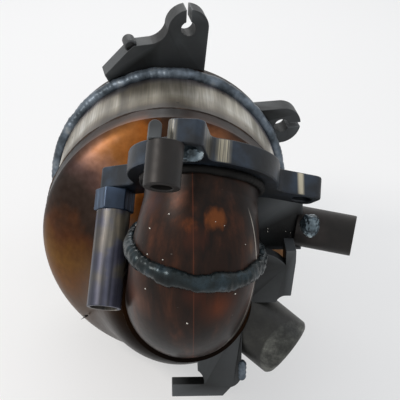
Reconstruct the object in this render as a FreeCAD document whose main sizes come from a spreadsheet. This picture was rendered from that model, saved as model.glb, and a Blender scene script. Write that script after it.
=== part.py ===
"""Close-coupled catalytic converter: a canned ceramic brick with an eccentric inlet cone, a two-piece
pressed inlet elbow, a three-hole inlet flange, and the welded brackets, sleeves and sensor boss.

Frame: millimetres, +Z up. The can's axis is the Y axis, the origin is the centre of the outlet's
seating face, and the gas leaves along +Y, so the inlet side lies towards -Y.
"""
import FreeCAD, Part
import os
import re
import Sketcher

V = FreeCAD.Vector
doc = FreeCAD.newDocument("catalytic_converter")

# ---------------------------------------------------------------------------------------------
# Driving dimensions, in mm and degrees
# ---------------------------------------------------------------------------------------------
DIMENSIONS = [
    # can and outlet
    ("can_radius", 65.0, "outside of the can tube"),
    ("can_wall", 1.5, "wall of the can tube"),
    ("shell_wall", 2.0, "wall of the pressed cones and elbow shells"),
    ("band_length", 62.0, "bare can between the inlet cone's lip and the outlet shell"),
    ("lap_length", 12.0, "can inside each shell's skirt"),
    ("outlet_skirt", 16.0, "straight skirt of the outlet shell"),
    ("outlet_taper", 38.0, "conical part of the outlet shell"),
    ("neck_length", 8.0, "straight neck of the outlet shell"),
    ("neck_radius", 27.0, "outside of the outlet neck"),
    ("ring_radius", 39.0, "outlet ring, outside"),
    ("ring_thickness", 10.0, "outlet ring, thickness"),
    ("ring_bevel", 6.0, "radial drop of the ring's clamp bevel"),
    ("can_bead_radius", 4.2, "weld bead round the can, section radius"),
    ("outlet_bead_radius", 3.0, "weld bead at the outlet ring, section radius"),
    # brick and mat
    ("mat_thickness", 4.3, "mat between the brick and the can"),
    ("brick_length", 76.2, "length of the brick"),
    ("mat_length", 68.0, "length of the swelling mat"),
    ("seal_length", 3.0, "length of each mat seal ring"),
    ("cell_pitch", 9.4, "spacing of the gauge grooves in the brick's ends"),
    ("cell_groove", 1.2, "width and depth of those grooves"),
    # inlet cone
    ("inlet_clock", 7.0, "turn of the whole inlet about the can's axis"),
    ("skirt_extra", 2.0, "straight cone wall past the end of the can"),
    ("brow_reach", 21.0, "rounded brow of the cone, ahead of the lip"),
    ("brow_ease", 0.2, "brow section, how far inside the can's radius its outside lies"),
    ("brow_side", 0.8, "brow section, sideways offset"),
    ("brow_drop", 1.2, "brow section, drop below the can's axis"),
    ("brow_tilt", 2.0, "brow section, nose-up tilt"),
    ("shoulder_reach", 32.0, "shoulder section, ahead of the lip"),
    ("shoulder_ease", 9.8, "shoulder section, how far inside the can's radius its outside lies"),
    ("shoulder_side", 2.5, "shoulder section, sideways offset"),
    ("shoulder_drop", 4.0, "shoulder section, drop below the can's axis"),
    ("shoulder_tilt", 6.0, "shoulder section, nose-up tilt"),
    ("throat_reach", 52.0, "throat section, ahead of the lip"),
    ("throat_ease", 23.0, "throat section, how far inside the can's radius its outside lies"),
    ("throat_side", 5.2, "throat section, sideways offset"),
    ("throat_drop", 7.0, "throat section, drop below the can's axis"),
    ("throat_tilt", 14.0, "throat section, nose-up tilt"),
    # inlet elbow
    ("pipe_radius", 29.6, "outside of the elbow shells"),
    ("pipe_side", 9.0, "elbow's plane, sideways from the can's axis"),
    ("seam_reach", 93.0, "elbow seam, ahead of the lip"),
    ("seam_height", 32.0, "elbow seam, above the can's axis"),
    ("bowl_straight", 5.0, "straight wall of the lower shell under the seam"),
    ("bowl_bend", 33.0, "bend radius of the lower shell"),
    ("bowl_turn", 68.0, "turn of the lower shell"),
    ("collar_start", 58.0, "turn at which the cone's collar begins"),
    ("collar_end", 70.0, "turn at which the collar meets the cone"),
    ("upper_bend", 35.0, "bend radius of the upper shell"),
    ("upper_straight", 9.5, "straight end of the upper shell"),
    ("mouth_radius", 26.0, "outside of the upper shell at the flange"),
    ("seam_bead_radius", 3.7, "weld bead round the elbow seam, section radius"),
    # inlet flange
    ("flange_tilt", 38.0, "lean of the flange back over the can"),
    ("flange_thickness", 11.0, "thickness of the inlet flange"),
    ("flange_hub", 35.0, "radius of the flange's round middle"),
    ("flange_bolt_circle", 102.0, "diameter of the bolt circle"),
    ("flange_turn", 17.0, "angle of the first bolt hole"),
    ("lobe_radius", 7.8, "radius of each bolt lobe"),
    ("lobe_corner", 4.0, "rounding at the end of each lobe"),
    ("lobe_flare", 5.0, "flare where a lobe leaves the hub"),
    ("bolt_hole", 8.8, "diameter of the bolt holes"),
    ("mouth_bead", 3.5, "leg of the fillet weld under the flange"),
    # long guide tube and its nut
    ("nut_height", 10.5, "hexagonal spacer under the flange"),
    ("nut_flats", 17.0, "across the flats of that spacer"),
    ("guide_shift", 1.8, "guide tube and nut, sideways from the hole above them"),
    ("guide_radius", 8.2, "outside of the long guide tube"),
    ("guide_wall", 1.6, "wall of the guide tube"),
    ("guide_length", 47.0, "length of the guide tube"),
    # short spacer sleeve
    ("sleeve_radius", 7.7, "outside of the short spacer sleeve"),
    ("sleeve_bore", 9.0, "bore of the spacer sleeve"),
    ("sleeve_length", 19.0, "length of the spacer sleeve"),
    ("sleeve_side", -20.5, "spacer sleeve, sideways in the flange's plane"),
    ("sleeve_front", -55.0, "spacer sleeve, fore and aft in the flange's plane"),
    ("tab_side", 5.0, "finger, sideways from the sleeve's axis"),
    ("tab_front", 3.4, "finger, to the front of the sleeve's axis"),
    ("tab_width", 5.6, "locating tab on the sleeve"),
    ("tab_height", 8.0, "height of the locating tab"),
    ("tab_depth", 4.0, "thickness of the locating tab"),
    ("sleeve_blob", 5.6, "weld between the sleeve and the flange, radius"),
    ("sleeve_blob_side", -13.0, "weld blob, sideways in the flange"),
    ("sleeve_blob_front", -39.5, "weld blob, to the front in the flange"),
    # side sleeve and saddle
    ("side_x", 64.0, "side sleeve, inner end"),
    ("side_reach", 52.2, "side sleeve, inner end ahead of the lip"),
    ("side_z", 23.3, "side sleeve, inner end above the can's axis"),
    ("side_radius", 10.0, "outside of the side sleeve"),
    ("side_bore", 14.0, "bore of the side sleeve"),
    ("side_length", 28.5, "length of the side sleeve"),
    ("side_yaw", 13.6, "side sleeve, swing towards the inlet"),
    ("side_dip", 6.1, "side sleeve, dip"),
    ("saddle_thickness", 8.0, "plate that carries the side sleeve"),
    ("saddle_forward", 5.6, "saddle plate, its front face ahead of the sleeve's end"),
    ("saddle_low", 12.6, "saddle plate, lower edge"),
    ("saddle_high", 43.0, "saddle plate, upper edge"),
    ("side_blob", 6.0, "weld between saddle and side sleeve, radius"),
    # stepped bracket
    ("step_reach", 76.0, "stepped bracket, front face ahead of the lip"),
    ("step_thickness", 7.0, "thickness of the stepped bracket"),
    ("step_right", 61.5, "stepped bracket, outer edge"),
    ("step_low", -3.4, "stepped bracket, lower edge"),
    ("step_high", 20.0, "stepped bracket, upper edge at the elbow"),
    ("step_flange", 14.0, "depth of the bracket's bent flange"),
    ("step_flange_high", 21.2, "top of the bent flange"),
    ("step_bead", 2.4, "weld bead along the stepped bracket"),
    ("step_weld_x", 38.6, "weld bead of the stepped bracket, sideways"),
    # sensor boss
    ("boss_x", 59.1, "centre of the boss's outer face"),
    ("boss_reach", 74.3, "that centre, ahead of the lip"),
    ("boss_z", -34.8, "that centre, above the can's axis"),
    ("boss_radius", 15.8, "outside of the sensor boss"),
    ("boss_length", 44.0, "length of the boss, up to the shells"),
    ("boss_bore", 20.0, "bore of the boss"),
    ("boss_yaw", 20.0, "boss, swing towards the outlet"),
    ("boss_rise", 35.0, "boss, slope of its axis"),
    ("boss_chamfer", 1.6, "chamfer on the boss's outer edge"),
    ("cap_recess", 1.2, "how far the blanking cap sits inside"),
    ("cap_thickness", 5.0, "thickness of the blanking cap"),
    # foot bracket
    ("foot_reach", 84.0, "foot bracket, front face ahead of the lip"),
    ("foot_thickness", 7.0, "thickness of the foot bracket"),
    ("foot_left", 1.2, "toe of the foot"),
    ("foot_low", -55.6, "underside of the foot"),
    ("foot_toe", 7.2, "height of the toe"),
    ("foot_web_left", 14.0, "inner edge of the web"),
    ("foot_web_right", 35.6, "outer edge of the web"),
    ("foot_bead", 2.2, "weld bead along the web"),
    # claw brackets
    ("claw_reach", 67.0, "front of the claws, behind the lip"),
    ("claw_thickness", 10.0, "thickness of the claw plates"),
    ("claw_yaw", 12.0, "claw plates, turn about the vertical"),
    ("claw_lean", 12.0, "claw plates, lean"),
    ("eye_radius", 12.0, "outside of each claw's eye"),
    ("eye_hole", 8.8, "diameter of the eye's hole"),
    ("eye_slot", 2.8, "width of the slot into the hole"),
    ("top_claw_rise", 5.9, "top claw, its datum above the can's wall"),
    ("top_eye_x", 12.0, "top claw, eye sideways"),
    ("top_eye_z", 20.6, "top claw, eye upwards"),
    ("top_arm", 36.4, "top claw, reach of its arm"),
    ("pin_radius", 3.6, "stop pin on the arm"),
    ("pin_length", 9.0, "length of the stop pin"),
    ("side_claw_out", 2.8, "side claw, its eye outside the can's wall"),
    ("side_claw_z", 30.6, "side claw, centre of the eye"),
]

sheet = doc.addObject("Spreadsheet::Sheet", "Sizes")
for row, (alias, value, meaning) in enumerate(DIMENSIONS, start=1):
    sheet.set(f"A{row}", meaning)
    sheet.set(f"B{row}", str(value))
    sheet.setAlias(f"B{row}", alias)
doc.recompute()

ALIASES = {alias for alias, _, _ in DIMENSIONS}


def ex(expression):
    """Point the plain names of an expression at the spreadsheet."""
    return re.sub(r"[a-z_]+", lambda m: "Sizes." + m.group(0) if m.group(0) in ALIASES else m.group(0),
                  str(expression))


def number(expression):
    """Value of an expression now, for the first shape of a sketch."""
    return float(sheet.evalExpression(ex(expression)))


def at(x=0, y=0, z=0, axis=None, angle=0):
    """Expression for one placement: a shift, then a turn about an axis through the shifted point."""
    axis = axis or (0, 0, 1)
    turn = f"rotation(vector({axis[0]}; {axis[1]}; {axis[2]}); {angle})"
    return f"placement(vector({x}; {y}; {z}); {turn})"


AXIS_X = (1, 0, 0)
AXIS_Y = (0, 1, 0)
AXIS_Z = (0, 0, 1)

# Places along the can, from the outlet's seating face towards the inlet
NECK_END = "(0 - ring_thickness - neck_length)"
TAPER_END = "(0 - ring_thickness - neck_length - outlet_taper)"
SKIRT_END = "(0 - ring_thickness - neck_length - outlet_taper - outlet_skirt)"
LIP = "(0 - ring_thickness - neck_length - outlet_taper - outlet_skirt - band_length)"
CAN_FRONT = f"({LIP} - lap_length)"
CAN_REAR = f"({SKIRT_END} + lap_length)"
CAN_MIDDLE = f"(({CAN_FRONT} + {CAN_REAR}) / 2)"

# Frames of the inlet side: turned about the can's axis, then in the flange's own plane
CLOCK = at(axis=AXIS_Y, angle="inlet_clock")
SEAM_Y = f"({LIP} - seam_reach)"
FLANGE_Y = f"({SEAM_Y} + upper_bend * (1 - cos(flange_tilt)) + upper_straight * sin(flange_tilt))"
FLANGE_Z = "(seam_height + upper_bend * sin(flange_tilt) + upper_straight * cos(flange_tilt))"
FLANGE = f"{CLOCK} * {at('pipe_side', FLANGE_Y, FLANGE_Z, AXIS_X, '0 - flange_tilt')}"


# ---------------------------------------------------------------------------------------------
# Modelling helpers
# ---------------------------------------------------------------------------------------------
def body(label, frame=None):
    """A PartDesign body in its own frame."""
    made = doc.addObject("PartDesign::Body", label)
    made.Label = label
    if frame:
        made.setExpression("Placement", ex(frame))
    return made


def sketch(owner, name, plane, offset=None):
    """An empty sketch on one of the body's own planes, moved off it by a placement expression."""
    made = owner.newObject("Sketcher::SketchObject", name)
    support = [feature for feature in owner.Origin.OriginFeatures if feature.Role == plane][0]
    made.AttachmentSupport = [(support, "")]
    made.MapMode = "FlatFace"
    if offset:
        made.setExpression("AttachmentOffset", ex(offset))
    return made


def circle(target, radius, x=0, y=0):
    """A circle held by its centre and radius."""
    index = target.addGeometry(Part.Circle(V(number(x), number(y), 0), V(0, 0, 1), number(radius)), False)
    for kind, expression in (("DistanceX", x), ("DistanceY", y)):
        row = target.addConstraint(Sketcher.Constraint(kind, -1, 1, index, 3, number(expression)))
        target.setExpression(f"Constraints[{row}]", ex(expression))
    row = target.addConstraint(Sketcher.Constraint("Radius", index, number(radius)))
    target.setExpression(f"Constraints[{row}]", ex(radius))


def outline(target, corners):
    """A closed outline. A corner is (x, y), or (x, y, radius) where an arc arrives at it.

    A positive radius bulges to the right of the way from the corner before, a negative one to the left.
    """
    points = [V(number(corner[0]), number(corner[1]), 0) for corner in corners]
    lines = []
    ends = []
    for index, corner in enumerate(corners):
        start, end = points[index - 1], points[index]
        radius = number(corner[2]) if len(corner) > 2 else 0
        if radius:
            chord = end - start
            side = V(chord.y, -chord.x, 0).normalize() * (1 if radius > 0 else -1)
            rise = abs(radius) - (radius ** 2 - (chord.Length / 2) ** 2) ** 0.5
            middle = (start + end) * 0.5 + side * rise
            arc = Part.Arc(start, middle, end) if radius > 0 else Part.Arc(end, middle, start)
            lines.append(target.addGeometry(arc, False))
        else:
            lines.append(target.addGeometry(Part.LineSegment(start, end), False))
        ends.append((2, 1) if radius < 0 else (1, 2))
    for index, corner in enumerate(corners):
        after = (index + 1) % len(corners)
        target.addConstraint(Sketcher.Constraint(
            "Coincident", lines[index], ends[index][1], lines[after], ends[after][0]))
        for kind, expression in (("DistanceX", corner[0]), ("DistanceY", corner[1])):
            row = target.addConstraint(Sketcher.Constraint(
                kind, -1, 1, lines[index], ends[index][1], number(expression)))
            target.setExpression(f"Constraints[{row}]", ex(expression))
        if len(corner) > 2:
            radius = f"abs({corner[2]})"
            row = target.addConstraint(Sketcher.Constraint("Radius", lines[index], number(radius)))
            target.setExpression(f"Constraints[{row}]", ex(radius))


def pad(owner, source, length, both=False, back=False):
    """Pad a sketch along its normal, to both sides, or against it."""
    made = owner.newObject("PartDesign::Pad", source.Name + "_pad")
    made.Profile = source
    made.setExpression("Length", ex(length))
    made.Midplane = both
    made.Reversed = back
    return made


def pocket_through(owner, source):
    """Cut a sketch right through the body."""
    made = owner.newObject("PartDesign::Pocket", source.Name + "_pocket")
    made.Profile = source
    made.Type = "ThroughAll"
    made.Midplane = True
    return made


def turned(label, corners, frame=None, angle=360):
    """A body turned about its own Y axis from half a section, given as (radius, place along Y)."""
    made = body(label, frame)
    section = sketch(made, label + "_section", "XY_Plane")
    outline(section, corners)
    spin = made.newObject("PartDesign::Revolution", label + "_turn")
    spin.Profile = section
    spin.ReferenceAxis = (section, ["V_Axis"])
    spin.Angle = angle
    return made


def cylinder(label, radius, length, frame):
    """A plain cylinder along the Z axis of its frame."""
    made = doc.addObject("Part::Cylinder", label)
    made.setExpression("Radius", ex(radius))
    made.setExpression("Height", ex(length))
    made.setExpression("Placement", ex(frame))
    return made


def torus(label, major, minor, frame):
    """A ring round the Z axis of its frame."""
    made = doc.addObject("Part::Torus", label)
    made.setExpression("Radius1", ex(major))
    made.setExpression("Radius2", ex(minor))
    made.setExpression("Placement", ex(frame))
    return made


def ball(label, radius, frame):
    """A ball at the origin of its frame."""
    made = doc.addObject("Part::Sphere", label)
    made.setExpression("Radius", ex(radius))
    made.setExpression("Placement", ex(frame))
    return made


def cut(label, base, *tools):
    """The base with each tool taken out, under the label of a sub-part."""
    made = base
    for index, tool in enumerate(tools):
        step = doc.addObject("Part::Cut", f"{label}_cut{index}")
        step.Base = made
        step.Tool = tool
        made = step
    made.Label = label
    return made


def joined(label, *pieces):
    """Several overlapping solids as one."""
    made = doc.addObject("Part::MultiFuse", label)
    made.Shapes = list(pieces)
    made.Refine = True
    made.Label = label
    return made


nodes = []


def keep(made):
    """Note an object as a sub-part of the converter."""
    nodes.append(made)
    return made


def fillet_rings(owner, radius, rings):
    """Round the circular edges whose (radius, place along Y) are given."""
    doc.recompute()
    wanted = [(number(ring), number(place)) for ring, place in rings]
    names = []
    for index, edge in enumerate(owner.Tip.Shape.Edges, start=1):
        curve = edge.Curve
        if curve.TypeId != "Part::GeomCircle":
            continue
        for ring, place in wanted:
            if abs(curve.Radius - ring) < 1e-3 and abs(curve.Center.y - place) < 1e-3:
                names.append(f"Edge{index}")
    made = owner.newObject("PartDesign::Fillet", owner.Name + "_fillet")
    made.Base = (owner.Group[-2], names)
    made.setExpression("Radius", ex(radius))
    return made


# ---------------------------------------------------------------------------------------------
# Can, brick and outlet
# ---------------------------------------------------------------------------------------------
CAN_INSIDE = "(can_radius - can_wall)"
BRICK_RADIUS = "(can_radius - can_wall - mat_thickness)"


def can_tube():
    """Rolled stainless tube that holds the brick."""
    return turned("can_tube", [(CAN_INSIDE, CAN_FRONT), ("can_radius", CAN_FRONT),
                               ("can_radius", CAN_REAR), (CAN_INSIDE, CAN_REAR)])


def outlet_shell(label, inside):
    """Pressed outlet shell: skirt, taper and neck. With no inside it is the solid envelope."""
    skirt = "(can_radius + shell_wall)"
    outer = [(skirt, SKIRT_END), (skirt, TAPER_END), ("neck_radius", NECK_END), ("neck_radius", 0)]
    if not inside:
        return turned(label, [(0, SKIRT_END)] + outer + [(0, 0)])
    inner = [("(neck_radius - shell_wall)", 0),
             ("(neck_radius - shell_wall)", f"({NECK_END} - shell_wall / 2)"),
             ("can_radius", f"({TAPER_END} - shell_wall / 2)"), ("can_radius", SKIRT_END)]
    made = turned(label, outer + inner)
    fillet_rings(made, "3 * shell_wall", [(skirt, TAPER_END), ("neck_radius", NECK_END)])
    return made


def outlet_ring():
    """Turned outlet ring with a bevelled back for a band clamp."""
    return turned("outlet_ring", [
        ("neck_radius", "-ring_thickness"), ("(ring_radius - ring_bevel)", "-ring_thickness"),
        ("ring_radius", "-ring_thickness / 2"), ("ring_radius", 0), ("neck_radius", 0)])


def annulus(label, inner, outer, start, end):
    """A plain ring round the can's axis."""
    return turned(label, [(inner, start), (outer, start), (outer, end), (inner, end)])


def honeycomb_brick():
    """Extruded ceramic brick, with the lines of its coarse cell grid in both ends."""
    made = body("honeycomb_brick", at(0, CAN_MIDDLE, 0))
    face = sketch(made, "brick_face", "XZ_Plane")
    circle(face, BRICK_RADIUS)
    pad(made, face, "brick_length", both=True)
    steps = int(number(f"{BRICK_RADIUS} / cell_pitch"))
    for end, place in (("front", "brick_length / 2"), ("rear", "-brick_length / 2")):
        for name, direction in (("upright", "X_Axis"), ("level", "Z_Axis")):
            line = sketch(made, f"{end}_{name}", "XZ_Plane", at(0, 0, place))
            far = f"{steps} * cell_pitch"
            if name == "upright":
                box = (f"(-{far} - cell_groove / 2)", f"(0 - {BRICK_RADIUS})", f"(-{far} + cell_groove / 2)", BRICK_RADIUS)
            else:
                box = (f"(0 - {BRICK_RADIUS})", f"(-{far} - cell_groove / 2)", BRICK_RADIUS, f"(-{far} + cell_groove / 2)")
            outline(line, [(box[0], box[1]), (box[2], box[1]), (box[2], box[3]), (box[0], box[3])])
            groove = made.newObject("PartDesign::Pocket", f"{end}_{name}_groove")
            groove.Profile = line
            groove.Midplane = True
            groove.setExpression("Length", ex("2 * cell_groove"))
            row = made.newObject("PartDesign::LinearPattern", f"{end}_{name}_row")
            row.Originals = [groove]
            axis = [feature for feature in made.Origin.OriginFeatures if feature.Role == direction][0]
            row.Direction = (axis, [""])
            row.setExpression("Length", ex(f"{2 * steps} * cell_pitch"))
            row.Occurrences = 2 * steps + 1
            made.Tip = row
    return made


tube = keep(can_tube())
outlet_core = outlet_shell("outlet_core", inside=False)
outlet = keep(outlet_shell("outlet_shell", inside=True))
ring = keep(outlet_ring())
mat_front = f"({CAN_MIDDLE} - mat_length / 2)"
mat_rear = f"({CAN_MIDDLE} + mat_length / 2)"
keep(honeycomb_brick())
keep(annulus("swelling_mat", BRICK_RADIUS, CAN_INSIDE, mat_front, mat_rear))
keep(annulus("front_seal_ring", BRICK_RADIUS, CAN_INSIDE, f"({mat_front} - seal_length)", mat_front))
keep(annulus("rear_seal_ring", BRICK_RADIUS, CAN_INSIDE, mat_rear, f"({mat_rear} + seal_length)"))

can_weld = keep(turned("can_weld", [
    ("can_radius", f"({SKIRT_END} - can_bead_radius - 0.6)"),
    ("(can_radius + can_bead_radius + 1)", f"({SKIRT_END} - 1.4)", "can_bead_radius + 0.2"),
    ("(can_radius + shell_wall)", f"({SKIRT_END} + can_bead_radius - 1.1)", "can_bead_radius + 0.2"),
    ("(can_radius + shell_wall)", SKIRT_END), ("can_radius", SKIRT_END)]))
outlet_bead_ring = torus("outlet_bead_ring", "neck_radius", "outlet_bead_radius",
                         at(0, "-ring_thickness", 0, AXIS_X, 90))
keep(cut("outlet_weld", outlet_bead_ring, outlet_core, ring,
         cylinder("ring_core", "ring_radius", "ring_thickness", at(0, 0, 0, AXIS_X, 90)),
         cylinder("neck_core", "neck_radius", "(4 * ring_thickness)", at(0, 0, 0, AXIS_X, 90))))

# ---------------------------------------------------------------------------------------------
# Inlet cone and elbow
# ---------------------------------------------------------------------------------------------
BOWL_CENTRE = ("0", f"({SEAM_Y} + bowl_bend)", "(seam_height - bowl_straight)")
UPPER_CENTRE = ("0", f"({SEAM_Y} + upper_bend)", "seam_height")


def cone_section(owner, name, radius, reach, side=0, drop=0, tilt=0):
    """One round section of the cone, ahead of the lip."""
    made = sketch(owner, name, "XZ_Plane", at(side, f"(0 - {drop})", f"(0 - ({LIP} - {reach}))", AXIS_X, f"(0 - {tilt})"))
    circle(made, radius)
    return made


def bowl_section(owner, name, turn, radii):
    """Section of the lower elbow at a turn angle, drawn round the bend's own axis."""
    made = sketch(owner, name, "XY_Plane", at(*BOWL_CENTRE, AXIS_X, turn))
    for radius in radii:
        circle(made, radius, "pipe_side", "-bowl_bend")
    return made


def revolve(owner, section, angle):
    """Swing a section round its own horizontal axis."""
    made = owner.newObject("PartDesign::Revolution", section.Name + "_turn")
    made.Profile = section
    made.ReferenceAxis = (section, ["H_Axis"])
    made.setExpression("Angle", ex(angle))
    return made


def loft(owner, sections, kind="Additive"):
    """Smooth loft through round sections."""
    made = owner.newObject(f"PartDesign::{kind}Loft", sections[0].Name + "_loft")
    made.Profile = sections[0]
    made.Sections = sections[1:]
    return made


def cone_loft(owner, prefix, inset, kind):
    """The cone's drawn form, inset by a wall."""
    sections = [
        cone_section(owner, prefix + "_skirt", f"(can_radius + shell_wall - {inset})", "(lap_length + skirt_extra)"),
        cone_section(owner, prefix + "_brow", f"(can_radius - brow_ease - {inset})", "brow_reach", "brow_side", "brow_drop",
                     "brow_tilt"),
        cone_section(owner, prefix + "_shoulder", f"(can_radius - shoulder_ease - {inset})", "shoulder_reach", "shoulder_side",
                     "shoulder_drop", "shoulder_tilt"),
        cone_section(owner, prefix + "_throat", f"(can_radius - throat_ease - {inset})", "throat_reach", "throat_side",
                     "throat_drop", "throat_tilt"),
        bowl_section(owner, prefix + "_neck", "collar_end", [f"(pipe_radius + shell_wall - {inset})"]),
    ]
    return loft(owner, sections, kind)


def inlet_cone(label, hollow):
    """Deep-drawn eccentric cone: skirt over the can, drawn form, and a short collar round the elbow."""
    made = body(label, CLOCK)
    lip = cone_section(made, label + "_lip", "(can_radius + shell_wall)", 0)
    skirt = pad(made, lip, "(lap_length + skirt_extra)")
    cone_loft(made, label + "_outer", "0", "Additive")
    collar = bowl_section(made, label + "_collar", "collar_start", ["(pipe_radius + shell_wall)"])
    revolve(made, collar, "(collar_end - collar_start)")
    if hollow:
        mouth = cone_section(made, label + "_mouth", "can_radius", 0)
        bore = made.newObject("PartDesign::Pocket", label + "_bore")
        bore.Profile = mouth
        bore.Reversed = True
        bore.setExpression("Length", ex("(lap_length + skirt_extra)"))
        cone_loft(made, label + "_inner", "shell_wall", "Subtractive")
        inside = bowl_section(made, label + "_inside", "collar_start", ["pipe_radius"])
        groove = made.newObject("PartDesign::Groove", label + "_collar_bore")
        groove.Profile = inside
        groove.ReferenceAxis = (inside, ["H_Axis"])
        groove.setExpression("Angle", ex("(collar_end - collar_start)"))
    return made


def elbow_bowl(label, inset=None):
    """Lower elbow shell: a bowl that turns the gas into the cone. With no inset it is solid."""
    made = body(label, CLOCK)
    radii = ["pipe_radius"] + (["(pipe_radius - shell_wall)"] if inset else [])
    rim = bowl_section(made, label + "_rim", 0, radii)
    pad(made, rim, "bowl_straight")
    revolve(made, bowl_section(made, label + "_bend", 0, radii), "bowl_turn")
    return made


def upper_section(owner, name, share, inset):
    """Section of the upper shell at a share of its bend, narrowing towards the flange."""
    made = sketch(owner, name, "XY_Plane", at(*UPPER_CENTRE, AXIS_X, f"(0 - flange_tilt * {share})"))
    radius = f"(pipe_radius - (pipe_radius - mouth_radius) * {share} - {inset})"
    circle(made, radius, "pipe_side", "-upper_bend")
    return made


def elbow_upper(label, hollow):
    """Upper elbow shell: bends back under the flange and narrows to its mouth."""
    made = body(label, CLOCK)
    shares = ("0", "1 / 3", "2 / 3", "1")
    outer = [upper_section(made, f"{label}_outer{index}", share, "0") for index, share in enumerate(shares)]
    loft(made, outer)
    pad(made, upper_section(made, label + "_end", "1", "0"), "upper_straight")
    if hollow:
        inner = [upper_section(made, f"{label}_inner{index}", share, "shell_wall")
                 for index, share in enumerate(shares)]
        loft(made, inner, "Subtractive")
        bore = made.newObject("PartDesign::Pocket", label + "_bore")
        bore.Profile = upper_section(made, label + "_mouth", "1", "shell_wall")
        bore.Reversed = True
        bore.setExpression("Length", ex("upper_straight"))
    return made


cone_core = inlet_cone("cone_core", hollow=False)
cone = keep(inlet_cone("inlet_cone", hollow=True))
bowl_core = elbow_bowl("bowl_core")
bowl = keep(elbow_bowl("elbow_bowl", inset=True))
upper_core = elbow_upper("upper_core", hollow=False)
upper = keep(elbow_upper("elbow_upper", hollow=True))
seam_ring = torus("seam_ring", "pipe_radius", "seam_bead_radius",
                  f"{CLOCK} * {at('pipe_side', SEAM_Y, 'seam_height')}")
keep(cut("elbow_seam_weld", seam_ring, bowl_core, upper_core))


# ---------------------------------------------------------------------------------------------
# Inlet flange and what hangs under it
# ---------------------------------------------------------------------------------------------
def inlet_flange():
    """Thick three-hole flange with rounded lobes flaring out of a round hub."""
    made = body("inlet_flange", FLANGE)
    hub = sketch(made, "hub", "XY_Plane")
    circle(hub, "flange_hub")
    pad(made, hub, "flange_thickness")
    lobe = sketch(made, "lobe", "XY_Plane", at(axis=AXIS_Z, angle="flange_turn"))
    reach = "(flange_bolt_circle / 2 + lobe_radius)"
    wide = "(lobe_radius + lobe_flare)"
    root = f"sqrt(flange_hub * flange_hub - {wide} * {wide})"
    outline(lobe, [
        (root, wide), (f"({root} + lobe_flare)", "lobe_radius", "lobe_flare * 1.2"),
        (f"({reach} - lobe_corner)", "lobe_radius"), (reach, "(lobe_radius - lobe_corner)", "-lobe_corner"),
        (reach, "-(lobe_radius - lobe_corner)"), (f"({reach} - lobe_corner)", "-lobe_radius", "-lobe_corner"),
        (f"({root} + lobe_flare)", "-lobe_radius"), (root, f"-{wide}", "lobe_flare * 1.2")])
    circle(lobe, "bolt_hole / 2", "flange_bolt_circle / 2")
    lobe_pad = pad(made, lobe, "flange_thickness")
    lobes = made.newObject("PartDesign::PolarPattern", "lobes")
    lobes.Originals = [lobe_pad]
    axis = [feature for feature in made.Origin.OriginFeatures if feature.Role == "Z_Axis"][0]
    lobes.Axis = (axis, [""])
    lobes.Angle = 360
    lobes.Occurrences = 3
    made.Tip = lobes
    bore = sketch(made, "flange_bore", "XY_Plane")
    circle(bore, "(mouth_radius - shell_wall)")
    pocket_through(made, bore)
    return made


def bolt_place(index, z=0):
    """Place of a bolt hole in the flange's frame."""
    angle = f"(flange_turn + {120 * index})"
    return at(f"(flange_bolt_circle / 2 * cos({angle}))", f"(flange_bolt_circle / 2 * sin({angle}))", z)


def tube_piece(label, radius, bore, length, frame):
    """A plain tube along the Z axis of its frame."""
    return cut(label, cylinder(label + "_outside", radius, length, frame),
               cylinder(label + "_hole", bore, length, frame))


flange = keep(inlet_flange())
mouth_cone = doc.addObject("Part::Cone", "mouth_cone")
mouth_cone.setExpression("Radius1", ex("mouth_radius"))
mouth_cone.setExpression("Radius2", ex("(mouth_radius + mouth_bead)"))
mouth_cone.setExpression("Height", ex("mouth_bead"))
mouth_cone.setExpression("Placement", ex(f"{FLANGE} * {at(0, 0, '-mouth_bead')}"))
keep(cut("mouth_weld", mouth_cone, upper_core))

GUIDE = f"{FLANGE} * {bolt_place(1, '(0 - nut_height)')} * {at('-guide_shift')}"
nut_prism = doc.addObject("Part::Prism", "nut_prism")
nut_prism.Polygon = 6
nut_prism.setExpression("Circumradius", ex("(nut_flats / sqrt(3))"))
nut_prism.setExpression("Height", ex("nut_height"))
nut_prism.setExpression("Placement", ex(GUIDE))
guide_bore = "(guide_radius - guide_wall)"
keep(cut("guide_spacer", nut_prism, cylinder("nut_hole", guide_bore, "nut_height", GUIDE), cone_core))
keep(tube_piece("guide_tube", "guide_radius", guide_bore, "guide_length",
                f"{GUIDE} * {at(0, 0, '-guide_length')}"))

SLEEVE = f"{FLANGE} * {at('sleeve_side', 'sleeve_front', '-sleeve_length')}"
sleeve = keep(tube_piece("spacer_sleeve", "sleeve_radius", "sleeve_bore / 2", "sleeve_length", SLEEVE))


def locating_tab():
    """Round-topped finger on the sleeve's outer rim, alongside the flange."""
    place = at('(sleeve_side - tab_side)', '(sleeve_front - tab_front)', 0)
    made = body("locating_tab", f"{FLANGE} * {place}")
    face = sketch(made, "tab_face", "XZ_Plane")
    half = "(tab_width / 2)"
    shoulder = "(tab_height - tab_width / 2)"
    outline(face, [(f"-{half}", 0), (f"-{half}", shoulder), (0, "tab_height", f"-{half}"), (half, shoulder, f"-{half}"), (half, 0)])
    pad(made, face, "tab_depth", both=True)
    return made


keep(locating_tab())
sleeve_core = cylinder("sleeve_core", "sleeve_radius", "sleeve_length", SLEEVE)
sleeve_lump = ball("sleeve_lump", "sleeve_blob", f"{FLANGE} * {at('sleeve_blob_side', 'sleeve_blob_front', '-sleeve_blob / 2')}")
keep(cut("sleeve_weld", sleeve_lump, sleeve_core, flange))

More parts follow.
